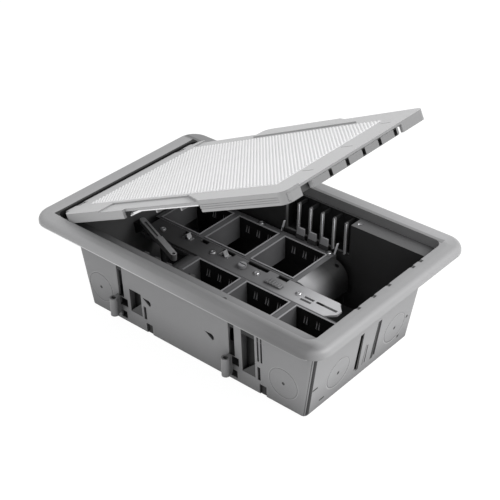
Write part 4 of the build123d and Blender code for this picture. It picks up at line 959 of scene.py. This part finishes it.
class FLOORBOX_OT_tread(bpy.types.Operator):
    """Finish the lid plate and lay its slanting ridges"""
    bl_idname = "floorbox.tread"
    bl_label = "Lid tread"

    def execute(self, context):
        colours = context.scene.floor_box_finishes
        settings = context.scene.floor_box_tread
        plate = moulded_plastic("plate_plastic", colours.plate, 0.5, grain=0.15)
        ridge = moulded_plastic("ridge_plastic", colours.ridge, 0.45, grain=0.1)
        dress("lid_plate", plate)
        ridges = grow("lid_tread", tread_tree(), {
            "Length": PLATE_END - PLATE_START - 2 * settings.margin,
            "Width": 2 * (PLATE_HALF_WIDTH - settings.margin),
            "Pitch": settings.pitch, "Slant": settings.slant, "Ridge Width": settings.width,
            "Ridge Height": settings.height, "Material": ridge})
        middle = Matrix.Translation(((PLATE_START + PLATE_END) / 2, 0, 0))
        ridges.data.transform(lid_to_row() @ middle)
        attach(ridges, "lid")
        return {"FINISHED"}


class FLOORBOX_OT_screws(bpy.types.Operator):
    """Put cross-head screws in the rows, the rail and the lid"""
    bl_idname = "floorbox.screws"
    bl_label = "Screws"

    def execute(self, context):
        steel = bright_steel("screw_steel", context.scene.floor_box_finishes.steel, 0.3, (1, 1, 1))
        screw_set("row_screw_set", "row_screws", "box", steel)
        screw_set("rail_screw_set", "rail_screws", "box", steel)
        screw_set("lid_screw_set", "lid_screws", "lid", steel, lid_to_row(), flip=True)
        return {"FINISHED"}


class FLOORBOX_OT_stage(bpy.types.Operator):
    """Set up the floor, the lights and the camera"""
    bl_idname = "floorbox.stage"
    bl_label = "Studio"

    def execute(self, context):
        settings = context.scene.floor_box_studio
        self.floor(half=6, glow_strength=1.10, glow_share=0.86)
        self.world(settings.world)
        self.lamp("key_light", place=(0.9, 0.35, 1.1), size=0.9, power=settings.key)
        self.lamp("fill_light", place=(-0.1, -1.3, 0.9), size=1.2, power=settings.fill)
        self.camera(settings.lens)
        context.scene.view_settings.view_transform = "Standard"
        return {"FINISHED"}

    def floor(self, half, glow_strength, glow_share):
        """White paper that takes the object's shadow and is seen as nearly plain white."""
        mesh = bpy.data.meshes.new("floor")
        corners = [(-half, -half, 0), (half, -half, 0), (half, half, 0), (-half, half, 0)]
        mesh.from_pydata(corners, [], [(0, 1, 2, 3)])
        floor = bpy.data.objects.new("floor", mesh)
        bpy.context.collection.objects.link(floor)
        finish = Finish("floor_white")
        paper = finish.node("ShaderNodeBsdfDiffuse", None, {"Color": (0.9, 0.9, 0.9, 1)})
        glow = finish.node("ShaderNodeEmission", None, {
            "Color": (1, 1, 1, 1), "Strength": glow_strength})
        seen = finish.node("ShaderNodeLightPath")
        rays = finish.output_of(seen, "Is Camera Ray") + finish.output_of(seen, "Is Glossy Ray")
        rays = rays + finish.output_of(seen, "Is Transmission Ray")
        mixed = finish.node("ShaderNodeMixShader", None, {0: rays * glow_share, 1: paper, 2: glow})
        finish.node("ShaderNodeOutputMaterial", None, {"Surface": mixed})
        mesh.materials.append(finish.material)

    def world(self, strength):
        """Even light from all round, seen as white."""
        world = bpy.data.worlds.new("studio")
        bpy.context.scene.world = world
        world.use_nodes = True
        world.node_tree.nodes.clear()
        tree = Tree(world.node_tree)
        seen = tree.node("ShaderNodeLightPath")
        rays = tree.output_of(seen, "Is Camera Ray").largest(tree.output_of(seen, "Is Transmission Ray"))
        level = rays * (1.0 - strength) + strength
        shade = tree.node("ShaderNodeBackground", None, {"Color": (1, 1, 1, 1), "Strength": level})
        tree.node("ShaderNodeOutputWorld", None, {"Surface": shade})

    def lamp(self, name, place, size, power):
        """Square soft light that looks at the middle of the box."""
        data = bpy.data.lights.new(name, "AREA")
        data.size = size
        data.energy = power
        lamp = bpy.data.objects.new(name, data)
        bpy.context.collection.objects.link(lamp)
        aim = Vector((0, 0, 0.08)) - Vector(place)
        turn = aim.to_track_quat("-Z", "Y").to_matrix().to_4x4()
        lamp.matrix_world = Matrix.Translation(place) @ turn

    def camera(self, lens):
        """Camera at the photograph's viewing angle."""
        data = bpy.data.cameras.new("camera")
        data.lens = lens
        data.sensor_width = FILM_WIDTH
        data.shift_y = CAMERA_SHIFT
        data.clip_start = CAMERA_NEAR
        camera = bpy.data.objects.new("camera", data)
        bpy.context.collection.objects.link(camera)
        right = Vector(CAMERA_RIGHT)
        up = Vector(CAMERA_UP)
        turn = Matrix((right, up, right.cross(up))).transposed()
        camera.matrix_world = Matrix.Translation(CAMERA_PLACE) @ turn.to_4x4()
        bpy.context.scene.camera = camera


class FLOORBOX_PT_panel(bpy.types.Panel):
    """Lists the settings and the pieces"""
    bl_idname = "FLOORBOX_PT_panel"
    bl_label = "Floor box"
    bl_space_type = "VIEW_3D"
    bl_region_type = "UI"
    bl_category = "Floor box"

    def draw(self, context):
        for group in (context.scene.floor_box_finishes, context.scene.floor_box_tread,
                      context.scene.floor_box_screws, context.scene.floor_box_studio):
            box = self.layout.box()
            for name in group.__annotations__:
                box.prop(group, name)
        for operator in OPERATORS:
            self.layout.operator(operator.bl_idname)


GROUPS = {
    "floor_box_finishes": FloorBoxFinishes,
    "floor_box_tread": FloorBoxTread,
    "floor_box_screws": FloorBoxScrews,
    "floor_box_studio": FloorBoxStudio,
}
OPERATORS = (FLOORBOX_OT_tub, FLOORBOX_OT_inside, FLOORBOX_OT_lid, FLOORBOX_OT_tread, FLOORBOX_OT_screws,
             FLOORBOX_OT_stage)


def register():
    for name, group in GROUPS.items():
        bpy.utils.register_class(group)
        setattr(bpy.types.Scene, name, PointerProperty(type=group))
    for kind in (*OPERATORS, FLOORBOX_PT_panel):
        bpy.utils.register_class(kind)


def unregister():
    for kind in reversed((*OPERATORS, FLOORBOX_PT_panel)):
        bpy.utils.unregister_class(kind)
    for name, group in GROUPS.items():
        delattr(bpy.types.Scene, name)
        bpy.utils.unregister_class(group)


def main():
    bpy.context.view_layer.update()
    register()
    for operator in OPERATORS:
        family, name = operator.bl_idname.split(".")
        getattr(getattr(bpy.ops, family), name)()


if __name__ == "__main__":
    main()
